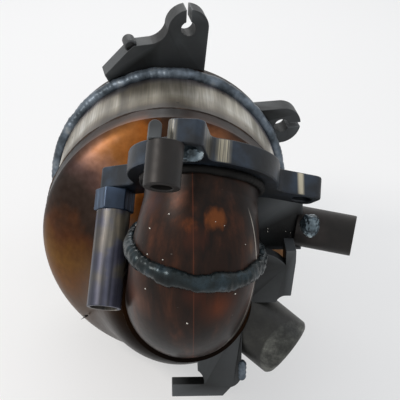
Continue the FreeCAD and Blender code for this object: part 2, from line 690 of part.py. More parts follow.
# ---------------------------------------------------------------------------------------------
# Side sleeve and its saddle plate
# ---------------------------------------------------------------------------------------------
SIDE = (f"{at('side_x', f'({LIP} - side_reach)', 'side_z', AXIS_Z, '(0 - side_yaw)')}"
        f" * {at(axis=AXIS_Y, angle='(90 + side_dip)')}")
side_core = cylinder("side_core", "side_radius", "side_length", SIDE)
side = keep(tube_piece("side_sleeve", "side_radius", "side_bore / 2", "side_length", SIDE))


def plate(label, reach, thickness, corners, frame_y=None, holes=()):
    """A flat plate across the can's axis, its front face ahead of the lip, with its outline in X and Z."""
    made = body(label, at(0, f"({LIP} - {reach})", 0))
    face = sketch(made, label + "_face", "XZ_Plane")
    outline(face, corners)
    pad(made, face, thickness, back=True)
    return made


saddle_plate = plate("saddle_plate", "(side_reach + saddle_forward)", "saddle_thickness", [
    (25, "saddle_low"), (25, "saddle_high"), ("(side_x + 2)", "saddle_high"), ("(side_x + 2)", "saddle_low")])
saddle = keep(cut("saddle", saddle_plate, cone_core, bowl_core, upper_core, side_core, flange))
side_lump = ball("side_lump", "side_blob", at("(side_x + 5)", f"({LIP} - side_reach - 9)", "(side_z + 4)"))
keep(cut("side_weld", side_lump, side_core, saddle, flange))


# ---------------------------------------------------------------------------------------------
# Stepped bracket, sensor boss and foot bracket
# ---------------------------------------------------------------------------------------------
def step_bracket():
    """Plate welded to the bowl, with a rounded top, a bent flange and a relief at its corner."""
    inner = "(step_right - 5)"
    web = plate("step_web", "step_reach", "step_thickness", [
        (28, "step_high"), ("(step_right - 15.5)", "step_high"), ("(step_right - 3)", "(step_high - 9.5)", "-17"),
        ("(step_right - 3)", "step_low"), ("(step_right - 5)", "step_low"),
        ("(step_right - 9)", "(step_low - 3.6)", "5"), (28, "(step_low - 3.6)")])
    flange_strip = body("step_strip", at(0, f"({LIP} - step_reach)", 0))
    face = sketch(flange_strip, "strip_face", "XZ_Plane")
    outline(face, [(inner, "step_low"), (inner, "step_flange_high"), ("step_right", "step_flange_high"),
                   ("step_right", "(step_flange_high - 6)"), ("(step_right - 1.8)", "step_low")])
    pad(flange_strip, face, "step_flange", back=True)
    return joined("step_blank", web, flange_strip)


BOSS = (f"{at('boss_x', f'({LIP} - boss_reach)', 'boss_z', AXIS_Z, '(90 - boss_yaw)')}"
        f" * {at(axis=AXIS_X, angle='boss_rise')}")


def sensor_boss(label, bore):
    """Turned boss with a chamfered rim."""
    return turned(label, [(bore, 0), ("(boss_radius - boss_chamfer)", 0), ("boss_radius", "boss_chamfer"),
                          ("boss_radius", "boss_length"), (bore, "boss_length")], BOSS)


boss_core = sensor_boss("boss_core", 0)
boss = keep(cut("sensor_boss", sensor_boss("boss_blank", "boss_bore / 2"), cone_core, bowl_core))
keep(turned("boss_cap", [(0, "cap_recess"), ("boss_bore / 2", "cap_recess"),
                         ("boss_bore / 2", "(cap_recess + cap_thickness)"), (0, "(cap_recess + cap_thickness)")],
            BOSS))
step = keep(cut("step_bracket", step_bracket(), bowl_core, cone_core, boss_core))
step_bar = cylinder("step_bar", "step_bead", "(step_high - step_low + step_bead)",
                    at("step_weld_x", f"({LIP} - step_reach - step_bead / 4)", "(step_low - step_bead)"))
keep(cut("step_weld", step_bar, step, bowl_core, cone_core, boss_core))

foot_plate = plate("foot_plate", "foot_reach", "foot_thickness", [
    ("foot_web_left", -18), ("foot_web_left", "(foot_low + 15)"),
    ("(foot_web_left + 3.2)", "(foot_low + foot_toe)", "-9"), ("foot_left", "(foot_low + foot_toe)"),
    ("foot_left", "foot_low"), ("(foot_web_right - 9)", "foot_low"), ("(foot_web_right - 5)", "(foot_low + 5)"),
    ("foot_web_right", "(foot_low + 12)", "7"), ("foot_web_right", -18)])
foot = keep(cut("foot_bracket", foot_plate, cone_core, bowl_core, boss_core))
foot_bar = cylinder("foot_bar", "foot_bead", 12, at("foot_web_right", f"({LIP} - foot_reach + 1)", "(foot_low + 9)"))
keep(cut("foot_weld", foot_bar, foot, boss_core, cone_core, bowl_core))


# ---------------------------------------------------------------------------------------------
# Claw brackets on the outlet shell
# ---------------------------------------------------------------------------------------------
def claw(label, x, y, z, corners, eye_x, eye_z, slot):
    """Thick bracket plate with a slotted eye. The slot is given as the corners of its cut."""
    frame = f"{at(x, y, z, AXIS_Z, 'claw_yaw')} * {at(axis=AXIS_X, angle='claw_lean')}"
    made = body(label, frame)
    face = sketch(made, label + "_face", "XZ_Plane")
    outline(face, corners)
    circle(face, "eye_hole / 2", eye_x, eye_z)
    pad(made, face, "claw_thickness", back=True)
    gap = sketch(made, label + "_gap", "XZ_Plane")
    outline(gap, slot)
    pocket_through(made, gap)
    return made


claw_y = f"({LIP} + claw_reach)"
half_slot = "(eye_slot / 2)"
top_blank = claw("top_blank", 0, claw_y, "(can_radius + top_claw_rise)", [
    ("-top_arm", -5.4), ("(13.4 - top_arm)", 9.2), ("(16.8 - top_arm)", 12.1), (-9, 12.7),
    ("(top_eye_x - eye_radius)", "top_eye_z", "11"), ("top_eye_x", "(top_eye_z + eye_radius)", "-eye_radius"),
    ("(top_eye_x + eye_radius)", "top_eye_z", "-eye_radius"),
    (22.4, -12), (-28, -22)], "top_eye_x", "top_eye_z", [
        (f"(top_eye_x - {half_slot})", "top_eye_z"), (f"(top_eye_x - {half_slot})", "(top_eye_z + eye_radius + 1)"),
        (f"(top_eye_x + {half_slot})", "(top_eye_z + eye_radius + 1)"), (f"(top_eye_x + {half_slot})", "top_eye_z")])
top_claw = keep(cut("top_claw", top_blank, outlet_core, can_weld))
side_blank = claw("side_blank", "(can_radius + side_claw_out)", f"({claw_y} + 1.7)", "side_claw_z", [
    (-20, "eye_radius"), (0, "eye_radius"), ("eye_radius", 0, "-eye_radius"), (0, "-eye_radius", "-eye_radius"), (-9, "(-eye_radius - 1.5)"),
    (-20, "(-eye_radius - 1.5)")], 0, 0, [
        (0, f"-{half_slot}"), (0, half_slot), ("(eye_radius + 1)", half_slot), ("(eye_radius + 1)", f"-{half_slot}")])
side_claw = keep(cut("side_claw", side_blank, outlet_core, can_weld))
pin = cylinder("pin_blank", "pin_radius", "pin_length",
               f"{at(0, claw_y, '(can_radius + top_claw_rise)', AXIS_Z, 'claw_yaw')} * {at(axis=AXIS_X, angle='claw_lean')}"
               f" * {at('(15 - top_arm)', 'pin_length', 12.2, AXIS_X, 90)}")
keep(cut("stop_pin", pin, top_claw))

# ---------------------------------------------------------------------------------------------
# Checks, then one STEP file for each sub-part
# ---------------------------------------------------------------------------------------------
doc.recompute()
failed = [item.Name for item in doc.Objects if {"Invalid", "Error"} & set(item.State)]
if failed:
    raise SystemExit("failed: " + ", ".join(failed))
for node in nodes:
    if node.Shape.isNull() or not node.Shape.isValid() or not node.Shape.Solids:
        raise SystemExit(f"{node.Label} has no valid shape")
os.makedirs("parts", exist_ok=True)
for node in nodes:
    node.Shape.exportStep(f"parts/{node.Label}.step")
    print(f"{node.Label}: {len(node.Shape.Solids)} solid, {node.Shape.Volume / 1000:.2f} cm3")
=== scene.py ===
"""Close-coupled catalytic converter: surface finishes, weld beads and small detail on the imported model."""
import math
import random
import bmesh
import bpy
from mathutils import Matrix, Vector, noise
from mathutils.bvhtree import BVHTree


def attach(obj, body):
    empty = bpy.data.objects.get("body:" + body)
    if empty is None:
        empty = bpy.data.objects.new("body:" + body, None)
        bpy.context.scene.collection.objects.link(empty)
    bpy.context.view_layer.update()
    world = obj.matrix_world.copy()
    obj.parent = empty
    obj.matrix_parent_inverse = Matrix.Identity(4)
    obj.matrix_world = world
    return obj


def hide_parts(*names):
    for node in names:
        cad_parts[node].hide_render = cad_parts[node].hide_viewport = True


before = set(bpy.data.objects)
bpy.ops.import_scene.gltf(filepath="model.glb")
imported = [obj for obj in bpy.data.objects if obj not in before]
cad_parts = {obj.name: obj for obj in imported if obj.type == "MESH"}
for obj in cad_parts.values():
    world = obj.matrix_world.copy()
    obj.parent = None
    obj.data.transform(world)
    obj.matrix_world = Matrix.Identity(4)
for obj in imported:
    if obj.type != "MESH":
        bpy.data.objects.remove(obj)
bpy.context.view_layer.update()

# ---------------------------------------------------------------------------------------------
# Stage: a plain pale floor just under the can, a white surround, soft studio lamps and the camera.
# The converter hangs by its outlet ring, so the floor only catches its shadow.
# ---------------------------------------------------------------------------------------------
MM = 0.001
FLOOR_LEVEL = -71.5 * MM
scene = bpy.context.scene
scene.view_settings.view_transform = "Standard"


def linear(code):
    """An sRGB hex colour as linear red, green, blue and alpha."""
    parts = [int(code[i:i + 2], 16) / 255 for i in (0, 2, 4)]
    return tuple(c / 12.92 if c <= 0.04045 else ((c + 0.055) / 1.055) ** 2.4 for c in parts) + (1.0,)


def put(tree, kind, sockets=None, stops=(), **settings):
    """Adds a node. A socket takes a value, or a (node, output) pair to link from; stops are a ramp's.

    Sockets that share a name go by number. Map Range: 0 value, 1 and 2 from, 3 and 4 to. Mix: 0 share,
    6 and 7 the two colours, and its colour comes out of 2. Math and Vector Math: 0, 1 and 2 in order.
    """
    made = tree.nodes.new(kind)
    for name, value in settings.items():
        setattr(made, name, value)
    for count, (place, code) in enumerate(stops):
        band = made.color_ramp.elements
        stop = band[count] if count < 2 else band.new(place)
        stop.position = place
        stop.color = linear(code)
    for name, value in (sockets or {}).items():
        if isinstance(value, tuple) and isinstance(value[0], bpy.types.Node):
            tree.links.new(value[0].outputs[value[1]], made.inputs[name])
        else:
            made.inputs[name].default_value = value
    return made


def blank_material(name):
    """A material with an empty node tree, and that tree."""
    made = bpy.data.materials.new(name)
    made.use_nodes = True
    made.node_tree.nodes.clear()
    return made, made.node_tree


bpy.ops.mesh.primitive_plane_add(size=6, location=(0, 0, FLOOR_LEVEL))
floor = bpy.context.object
floor.name = "floor"
floor_paint, tree = blank_material("matt_white_floor")
paint = put(tree, "ShaderNodeBsdfDiffuse", {"Color": linear("F6F6F5")})
seen = put(tree, "ShaderNodeLightPath")
mirrored = put(tree, "ShaderNodeMath", {0: (seen, "Is Glossy Ray"), 1: (seen, "Is Transmission Ray")},
               operation="MAXIMUM")
direct = put(tree, "ShaderNodeMath", {0: (seen, "Is Camera Ray"), 1: (mirrored, 0)}, operation="MAXIMUM")
half = put(tree, "ShaderNodeMath", {0: (direct, 0), 1: 0.5}, operation="MULTIPLY")
glow = put(tree, "ShaderNodeEmission", {"Color": (1, 1, 1, 1), "Strength": 1.0})
top = put(tree, "ShaderNodeMixShader", {0: (half, 0), 1: (paint, 0), 2: (glow, 0)})
put(tree, "ShaderNodeOutputMaterial", {"Surface": (top, 0)})
floor.data.materials.append(floor_paint)

world = bpy.data.worlds.new("white_surround")
scene.world = world
world.use_nodes = True
tree = world.node_tree
tree.nodes.clear()
seen = put(tree, "ShaderNodeLightPath")
mirrored = put(tree, "ShaderNodeMath", {0: (seen, "Is Glossy Ray"), 1: (seen, "Is Transmission Ray")},
               operation="MAXIMUM")
direct = put(tree, "ShaderNodeMath", {0: (seen, "Is Camera Ray"), 1: (mirrored, 0)}, operation="MAXIMUM")
white = put(tree, "ShaderNodeBackground", {"Color": (1, 1, 1, 1), "Strength": 1.0})
soft = put(tree, "ShaderNodeBackground", {"Color": linear("E6E9EE"), "Strength": 0.62})
surround = put(tree, "ShaderNodeMixShader", {0: (direct, 0), 1: (soft, 0), 2: (white, 0)})
put(tree, "ShaderNodeOutputWorld", {"Surface": (surround, 0)})


def lamp(name, place, aim, size, power, colour="FFFFFF"):
    """A soft square lamp aimed at a point."""
    light = bpy.data.lights.new(name, "AREA")
    light.shape = "SQUARE"
    light.size = size
    light.energy = power
    light.color = linear(colour)[:3]
    made = bpy.data.objects.new(name, light)
    scene.collection.objects.link(made)
    made.location = place
    made.rotation_euler = (Vector(aim) - Vector(place)).to_track_quat("-Z", "Y").to_euler()


# A warm key from the upper left, a weak cool fill from the right and a weak lamp behind, all in metres and watts
lamp("window", (-0.79, -0.53, 0.76), (0, -0.14, 0.02), size=0.34, power=6.6, colour="FFF8F2")
lamp("bounce", (0.95, -0.25, 0.9), (0, -0.14, 0.0), size=0.6, power=1.2, colour="EAF0FF")
lamp("back", (-0.1, 0.75, 0.6), (0, -0.1, 0.05), size=0.5, power=2.0)

camera = bpy.data.objects.new("camera", bpy.data.cameras.new("camera"))
scene.collection.objects.link(camera)
camera.location = (0.0035, -0.6634, 0.2552)
camera.rotation_euler = (math.radians(65.5), 0, math.radians(-1.5))
camera.data.sensor_width = 36
camera.data.lens = 96.3
camera.data.clip_end = 20
scene.camera = camera

# ---------------------------------------------------------------------------------------------
# Can tube: rolled and seam-welded stainless sheet, left as ground, with brown heat stain beside
# the cone's lip and next to the bead, and a few burnt specks of weld spatter.
# ---------------------------------------------------------------------------------------------
CONE_LIP = -134 * MM
OUTLET_SKIRT_END = -72 * MM


def dress(node_name, material):
    """Gives a node of the model its material."""
    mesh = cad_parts[node_name].data
    mesh.materials.clear()
    mesh.materials.append(material)
    for face in mesh.polygons:
        face.material_index = 0


def unrolled(tree, source, first, second):
    """Bearing round an axis, from -1 to 1, from two of a point's coordinates."""
    split = put(tree, "ShaderNodeSeparateXYZ", {0: source})
    turn = put(tree, "ShaderNodeMath", {0: (split, first), 1: (split, second)}, operation="ARCTAN2")
    share = put(tree, "ShaderNodeMath", {0: (turn, 0), 1: math.pi}, operation="DIVIDE")
    return split, share


# Ground stainless: pale and silky, with scratches along the can in lighter and darker bands. The scratches
# are 1 mm wide and 55 mm long, drawn coarser than real ones, which are under 0.1 mm. The bands are about
# 9 mm wide, and the burnt specks up to 2 mm across and 11 mm apart. A dull sheen, glossy only in streaks.
can_steel, tree = blank_material("ground_stainless_sheet_heat_stained_painted_bands")
where = put(tree, "ShaderNodeTexCoord")
split, turn = unrolled(tree, (where, "Object"), "X", "Z")
rolled = put(tree, "ShaderNodeCombineXYZ", {0: (turn, 0), 1: (split, "Y")})
grain_place = put(tree, "ShaderNodeMapping", {"Vector": (rolled, 0), "Scale": (70.0, 6.0, 1.0)})
grain = put(tree, "ShaderNodeTexNoise", {"Vector": (grain_place, 0), "Scale": 3.0, "Detail": 4.0, "Roughness": 0.6})
broad_place = put(tree, "ShaderNodeMapping", {"Vector": (rolled, 0), "Scale": (13.0, 7.0, 1.0)})
broad = put(tree, "ShaderNodeTexNoise", {"Vector": (broad_place, 0), "Scale": 1.7, "Detail": 3.0})
steel = put(tree, "ShaderNodeValToRGB", {0: (grain, 0)}, stops=[(0.30, "A2A09A"), (0.5, "C4C2BC"), (0.72, "E0DEDA")])
# Bands of painted highlight and painted shade run round the can by bearing: white bands and narrow darker ones.
lap = put(tree, "ShaderNodeMapRange", {0: (turn, 0), 1: -1.0, 2: 1.0})
painted_light_tone = put(tree, "ShaderNodeValToRGB", {0: (lap, 0)},
             stops=[(0.0, "C8C4BC"), (0.33, "E4E2DC"), (0.38, "FFFFFF"), (0.4, "E0DCD4"), (0.418, "8A8478"),
                    (0.43, "DCD8CE"), (0.437, "6E685E"), (0.448, "A49E92"), (0.456, "8C867A"), (0.47, "B8B4AA"),
                    (0.55, "C8C6C0"), (0.6, "F4F4F0"), (0.67, "FFFFFF"), (1.0, "C8C4BC")])
shade = put(tree, "ShaderNodeValToRGB", {0: (broad, 0)}, stops=[(0.36, "B4B0A8"), (0.48, "DCD9D2"), (0.6, "FFFFFF")])
surface_variation = put(tree, "ShaderNodeMix", {0: 0.85, 6: (steel, 0), 7: (painted_light_tone, 0)}, data_type="RGBA", blend_type="MULTIPLY")
sheet = put(tree, "ShaderNodeMix", {0: 0.8, 6: (surface_variation, 2), 7: (shade, 0)}, data_type="RGBA", blend_type="MULTIPLY")
ragged = put(tree, "ShaderNodeTexNoise", {"Vector": (where, "Object"), "Scale": 55.0, "Detail": 4.0})
ragged_place = put(tree, "ShaderNodeMath", {0: (ragged, 0), 1: 0.022, 2: (split, "Y")}, operation="MULTIPLY_ADD")
zone = put(tree, "ShaderNodeMapRange", {0: (ragged_place, 0), 1: CONE_LIP + 0.006, 2: -0.062})
stain = put(tree, "ShaderNodeValToRGB", {0: (zone, 0)},
            stops=[(0.0, "3A2A20"), (0.1, "4A382C"), (0.15, "382C24"), (0.2, "42362E"), (0.26, "5E5248"),
                   (0.33, "948A7E"), (0.42, "D4D0C8"), (0.52, "FFFFFF"), (0.78, "F4F0EA"), (0.9, "A09AA6"),
                   (1.0, "5A607C")])
tinted = put(tree, "ShaderNodeMix", {0: 0.9, 6: (sheet, 2), 7: (stain, 0)}, data_type="RGBA", blend_type="MULTIPLY")
speck = put(tree, "ShaderNodeTexVoronoi", {"Vector": (where, "Object"), "Scale": 90.0})
speck_mask = put(tree, "ShaderNodeValToRGB", {0: (speck, 0)},
                 stops=[(0.0, "14100C"), (0.06, "14100C"), (0.1, "FFFFFF")])
specked = put(tree, "ShaderNodeMix", {0: 0.85, 6: (tinted, 2), 7: (speck_mask, 0)}, data_type="RGBA",
              blend_type="MULTIPLY")
rough = put(tree, "ShaderNodeMapRange", {0: (grain, 0), 3: 0.32, 4: 0.5})
bump = put(tree, "ShaderNodeBump", {"Strength": 0.15, "Distance": 0.0003, "Height": (grain, 0)})
bareness = put(tree, "ShaderNodeMapRange", {0: (zone, 0), 1: 0.15, 2: 0.45, 3: 0.25, 4: 0.8})
skin = put(tree, "ShaderNodeBsdfPrincipled", {"Base Color": (specked, 2), "Metallic": (bareness, 0),
                                              "Roughness": (rough, 0), "Specular IOR Level": 0.15,
                                              "Normal": (bump, 0)})
put(tree, "ShaderNodeOutputMaterial", {"Surface": (skin, 0)})
dress("can_tube", can_steel)

# ---------------------------------------------------------------------------------------------
# Inlet cone: deep-drawn stainless shell over the end of the can. The heat of the exhaust has
# turned it straw, gold and brown in broad soft bands, and the same bands carry a painted highlight
# at the upper left and painted shade, darkest below and beside the elbow.
# ---------------------------------------------------------------------------------------------
# Heat-stained stainless: the oxide film gives straw and brown over a soft metal sheen, duller at the lip. Along
# the axis the colour is painted dark at the lip as shade, pale just past it as a highlight, and darker towards
# the small end. The clouds of colour are about 50 mm across, and the mottle 3 mm, drawn coarser than real grain.
cone_steel, tree = blank_material("drawn_stainless_straw_and_brown_painted_light")
where = put(tree, "ShaderNodeTexCoord")
split, turn = unrolled(tree, (where, "Object"), "X", "Z")
cloud = put(tree, "ShaderNodeTexNoise", {"Vector": (where, "Object"), "Scale": 20.0, "Detail": 5.0,
                                         "Roughness": 0.55})
drift = put(tree, "ShaderNodeMath", {0: (cloud, 0), 1: 0.36, 2: -0.18}, operation="MULTIPLY_ADD")
bearing = put(tree, "ShaderNodeMath", {0: (turn, 0), 1: (drift, 0)}, operation="ADD")
lap = put(tree, "ShaderNodeMapRange", {0: (bearing, 0), 1: -1.0, 2: 1.0})
# Round the cone: heat tint, with a painted highlight at the upper left and painted shade in the dark bands.
heat_and_painted_light = put(tree, "ShaderNodeValToRGB", {0: (lap, 0)},
           stops=[(0.0, "342C26"), (0.11, "443428"), (0.165, "583E20"), (0.215, "744C20"), (0.25, "765426"),
                  (0.285, "5A3A26"), (0.31, "362D29"), (0.34, "362E2B"), (0.37, "52413F"), (0.4, "8A6858"),
                  (0.425, "8C5E34"), (0.455, "9A5C26"), (0.482, "402C20"), (0.52, "3C2A1E"), (0.56, "84583C"),
                  (0.6, "684C3C"), (0.7, "6E5034"), (0.77, "7C5830"), (0.88, "3C3028"), (1.0, "342C26")])
forward = put(tree, "ShaderNodeMath", {0: (cloud, 0), 1: 0.02, 2: (split, "Y")}, operation="MULTIPLY_ADD")
lip_zone = put(tree, "ShaderNodeMapRange", {0: (forward, 0), 1: CONE_LIP + 0.01, 2: -0.195})
# Along the axis: painted shade at the lip, a painted highlight just past it, then darker towards the small end.
painted_lip_shade_and_highlight = put(tree, "ShaderNodeValToRGB", {0: (lip_zone, 0)},
                stops=[(0.0, "1E1814"), (0.05, "2A211C"), (0.12, "3C322A"), (0.18, "7C7066"), (0.27, "F4F0EC"),
                       (0.38, "E4DCD4"), (0.55, "C8BEB4"), (0.8, "908478"), (1.0, "504640")])
cone_tint_and_painted_light = put(tree, "ShaderNodeMix", {0: 0.95, 6: (heat_and_painted_light, 0), 7: (painted_lip_shade_and_highlight, 0)}, data_type="RGBA",
             blend_type="MULTIPLY")
fine = put(tree, "ShaderNodeTexNoise", {"Vector": (where, "Object"), "Scale": 300.0, "Detail": 4.0})
mottle = put(tree, "ShaderNodeValToRGB", {0: (fine, 0)}, stops=[(0.3, "C8C0B8"), (0.7, "FFFFFF")])
mottled = put(tree, "ShaderNodeMix", {0: 0.6, 6: (cone_tint_and_painted_light, 2), 7: (mottle, 0)}, data_type="RGBA",
              blend_type="MULTIPLY")
rough = put(tree, "ShaderNodeMapRange", {0: (fine, 0), 3: 0.3, 4: 0.44})
bump = put(tree, "ShaderNodeBump", {"Strength": 0.1, "Distance": 0.0002, "Height": (fine, 0)})
bareness = put(tree, "ShaderNodeMapRange", {0: (lip_zone, 0), 1: 0.1, 2: 0.34, 3: 0.08, 4: 0.65})
skin = put(tree, "ShaderNodeBsdfPrincipled", {"Base Color": (mottled, 2), "Metallic": (bareness, 0),
                                              "Roughness": (rough, 0), "Specular IOR Level": 0.05,
                                              "Normal": (bump, 0)})
put(tree, "ShaderNodeOutputMaterial", {"Surface": (skin, 0)})
dress("inlet_cone", cone_steel)

# ---------------------------------------------------------------------------------------------
# Elbow: two pressed half shells welded round the middle, burnt to a dark red-brown with orange
# streaks that run down from the flange, and scratched by handling. A violet-grey patch at the upper
# left and a pale line down the side are painted highlights.
# ---------------------------------------------------------------------------------------------
# Burnt stainless: a dark glassy oxide skin. Its streaks are 12 mm wide and 74 mm long, and the handling
# scratches about 1 mm wide, drawn coarser than real ones.
elbow_steel, tree = blank_material("pressed_stainless_burnt_red_brown_painted_highlights")
where = put(tree, "ShaderNodeTexCoord")
split = put(tree, "ShaderNodeSeparateXYZ", {0: (where, "Object")})
streak_place = put(tree, "ShaderNodeMapping", {"Vector": (where, "Object"), "Scale": (1.0, 1.0, 0.16)})
streak = put(tree, "ShaderNodeTexNoise", {"Vector": (streak_place, 0), "Scale": 85.0, "Detail": 5.0,
                                          "Roughness": 0.6})
burnt = put(tree, "ShaderNodeValToRGB", {0: (streak, 0)},
            stops=[(0.3, "171312"), (0.45, "1E1714"), (0.56, "2B1D17"), (0.66, "40271C"), (0.75, "583422")])
burnt_and_painted_light_mix = burnt

# Spots of colour: centre and reach in mm, and colour. The orange and brown ones are where the heat was
# fiercest; the violet-grey one at (-7, -234, 58) is a painted highlight.
for centre, reach, code in (((7, -247, 54), 6, "84461F"), ((23, -247, 56), 5.5, "844A24"),
                            ((23, -254, 16), 14, "743A1E"), ((-13, -240, 15), 13, "7C4E38"),
                            ((-7, -234, 58), 12, "584448"), ((10, -254, 50), 8, "522C1E"),
                            ((12, -256, 24), 9, "50291C"), ((37, -242, 40), 7, "74523A")):
    apart = put(tree, "ShaderNodeVectorMath", {0: (where, "Object"), 1: [c * MM for c in centre]},
                operation="DISTANCE")
    torn = put(tree, "ShaderNodeMath", {0: (streak, 0), 1: 0.03, 2: (apart, "Value")}, operation="MULTIPLY_ADD")
    near = put(tree, "ShaderNodeMapRange", {0: (torn, 0), 1: 0.015 + reach * MM, 2: 0.015 - 0.3 * reach * MM, 4: 0.6},
               interpolation_type="SMOOTHSTEP")
    colour_out = 2 if burnt_and_painted_light_mix != burnt else 0
    burnt_and_painted_light_mix = put(tree, "ShaderNodeMix", {0: (near, 0), 6: (burnt_and_painted_light_mix, colour_out), 7: linear(code)},
                    data_type="RGBA")
fine = put(tree, "ShaderNodeTexNoise", {"Vector": (where, "Object"), "Scale": 420.0, "Detail": 3.0})

# Two lines down the shells: a narrow redder line, and at the side a pale line that is a painted highlight
for square, place, width, top, code, share in (((1, 0, 0), 0.0114, 0.0005, 0.09, "5E3424", 0.55),
                                               ((0.377, 0.926, 0), -0.2054, 0.0008, 0.057, "C4BCB0", 0.9)):
    across = put(tree, "ShaderNodeVectorMath", {0: (where, "Object"), 1: square}, operation="DOT_PRODUCT")
    off = put(tree, "ShaderNodeMath", {0: (across, "Value"), 1: place}, operation="SUBTRACT")
    far = put(tree, "ShaderNodeMath", {0: (off, 0)}, operation="ABSOLUTE")
    line = put(tree, "ShaderNodeMapRange", {0: (far, 0), 1: width, 2: 0.2 * width, 4: share})
    uneven = put(tree, "ShaderNodeMath", {0: (line, 0), 1: (streak, 0)}, operation="MULTIPLY")
    patchy = put(tree, "ShaderNodeMath", {0: (uneven, 0), 1: 3.0, 2: -0.6 * share}, operation="MULTIPLY_ADD",
                 use_clamp=True)
    below = put(tree, "ShaderNodeMapRange", {0: (split, "Z"), 1: top, 2: top - 0.006})
    shown = put(tree, "ShaderNodeMath", {0: (patchy, 0), 1: (below, 0)}, operation="MULTIPLY")
    burnt_and_painted_light_mix = put(tree, "ShaderNodeMix", {0: (shown, 0), 6: (burnt_and_painted_light_mix, 2), 7: linear(code)}, data_type="RGBA")
scratch_place = put(tree, "ShaderNodeMapping", {"Vector": (where, "Object"), "Rotation": (0.3, 0.15, 0.4),
                                                "Scale": (70.0, 600.0, 1500.0)})
scratch = put(tree, "ShaderNodeTexNoise", {"Vector": (scratch_place, 0), "Scale": 1.0, "Detail": 2.0})
scratch_mask = put(tree, "ShaderNodeValToRGB", {0: (scratch, 0)}, stops=[(0.76, "000000"), (0.8, "B0B0B0")])
scratched = put(tree, "ShaderNodeMix", {0: (scratch_mask, 0), 6: (burnt_and_painted_light_mix, 2), 7: linear("A8A29A")},
                data_type="RGBA")
rough = put(tree, "ShaderNodeMapRange", {0: (fine, 0), 3: 0.3, 4: 0.44})
bump = put(tree, "ShaderNodeBump", {"Strength": 0.1, "Distance": 0.0002, "Height": (fine, 0)})
skin = put(tree, "ShaderNodeBsdfPrincipled", {"Base Color": (scratched, 2), "Metallic": 0.25,
                                              "Roughness": (rough, 0), "Specular IOR Level": 0.12,
                                              "Normal": (bump, 0)})
put(tree, "ShaderNodeOutputMaterial", {"Surface": (skin, 0)})
dress("elbow_bowl", elbow_steel)
dress("elbow_upper", elbow_steel)

# ---------------------------------------------------------------------------------------------
# Inlet flange: thick steel plate, cut to shape and blued nearly black by the welding heat. Its
# edge is pale in three patches, and in a narrow strip on the lobe beside the side sleeve: partly ground
# bare steel, partly painted highlight.
# ---------------------------------------------------------------------------------------------
FLANGE_PLACE = (16.37 * MM, -213.73 * MM, 59.48 * MM)
FLANGE_TILT = math.radians(-38)
INLET_TURN = math.radians(7)
FLANGE_TURN = (FLANGE_TILT, INLET_TURN, 0)


def eased_copy(node_name, material, width, segments=2):
    """Takes over a node with the same solid, its sharp edges broken by a small radius."""
    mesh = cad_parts[node_name].data.copy()
    shape = bmesh.new()
    shape.from_mesh(mesh)
    bmesh.ops.remove_doubles(shape, verts=shape.verts, dist=0.03 * MM)
    bmesh.ops.dissolve_limit(shape, angle_limit=math.radians(1.0), verts=shape.verts, edges=shape.edges)
    for face in shape.faces:
        face.smooth = True
        face.material_index = 0
    shape.to_mesh(mesh)
    shape.free()
    mesh.materials.clear()
    mesh.materials.append(material)
    made = bpy.data.objects.new(node_name + "_eased", mesh)
    scene.collection.objects.link(made)
    edge = made.modifiers.new("broken_edges", "BEVEL")
    edge.width = width
    edge.segments = segments
    edge.limit_method = "ANGLE"
    edge.angle_limit = math.radians(40)
    edge.use_clamp_overlap = False
    even = made.modifiers.new("even_shading", "WEIGHTED_NORMAL")
    even.weight = 100
    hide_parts(node_name)
    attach(made, "root")
    return made


# Blued plate: nearly black with a cold blue cast and a satin gloss, in clouds about 17 mm across. The pale
# patches on the edge are partly ground bare and partly painted highlight, brushed with lines 0.5 mm apart,
# drawn coarser than real grinding marks.
flange_steel, tree = blank_material("blued_steel_plate_brushed_edge_painted_highlight")
where = put(tree, "ShaderNodeTexCoord")
own = put(tree, "ShaderNodeMapping", {"Vector": (where, "Object"), "Location": FLANGE_PLACE,
                                      "Rotation": FLANGE_TURN}, vector_type="TEXTURE")
split, turn = unrolled(tree, (own, 0), "Y", "X")
cloud = put(tree, "ShaderNodeTexNoise", {"Vector": (where, "Object"), "Scale": 60.0, "Detail": 4.0})
blued = put(tree, "ShaderNodeValToRGB", {0: (cloud, 0)},
            stops=[(0.32, "181A1C"), (0.5, "22262B"), (0.64, "2C3642"), (0.78, "424C56")])
brushed_place = put(tree, "ShaderNodeCombineXYZ", {0: (turn, 0), 2: (split, "Z")})
brushed_scale = put(tree, "ShaderNodeMapping", {"Vector": (brushed_place, 0), "Scale": (220.0, 1.0, 25.0)})
brushed = put(tree, "ShaderNodeTexNoise", {"Vector": (brushed_scale, 0), "Scale": 1.0, "Detail": 3.0})
lap = put(tree, "ShaderNodeMapRange", {0: (turn, 0), 1: -1.0, 2: 1.0})
# Pale patches round the edge by bearing: partly ground bare, partly painted highlight.
bare_and_highlight_bands = put(tree, "ShaderNodeValToRGB", {0: (lap, 0)},
           stops=[(0.0, "000000"), (0.19, "000000"), (0.197, "B0B0B0"), (0.207, "000000"), (0.236, "000000"),
                  (0.242, "8A8A8A"), (0.25, "303030"), (0.257, "000000"), (0.266, "C0C0C0"), (0.282, "D0D0D0"),
                  (0.292, "000000"), (1.0, "000000")])
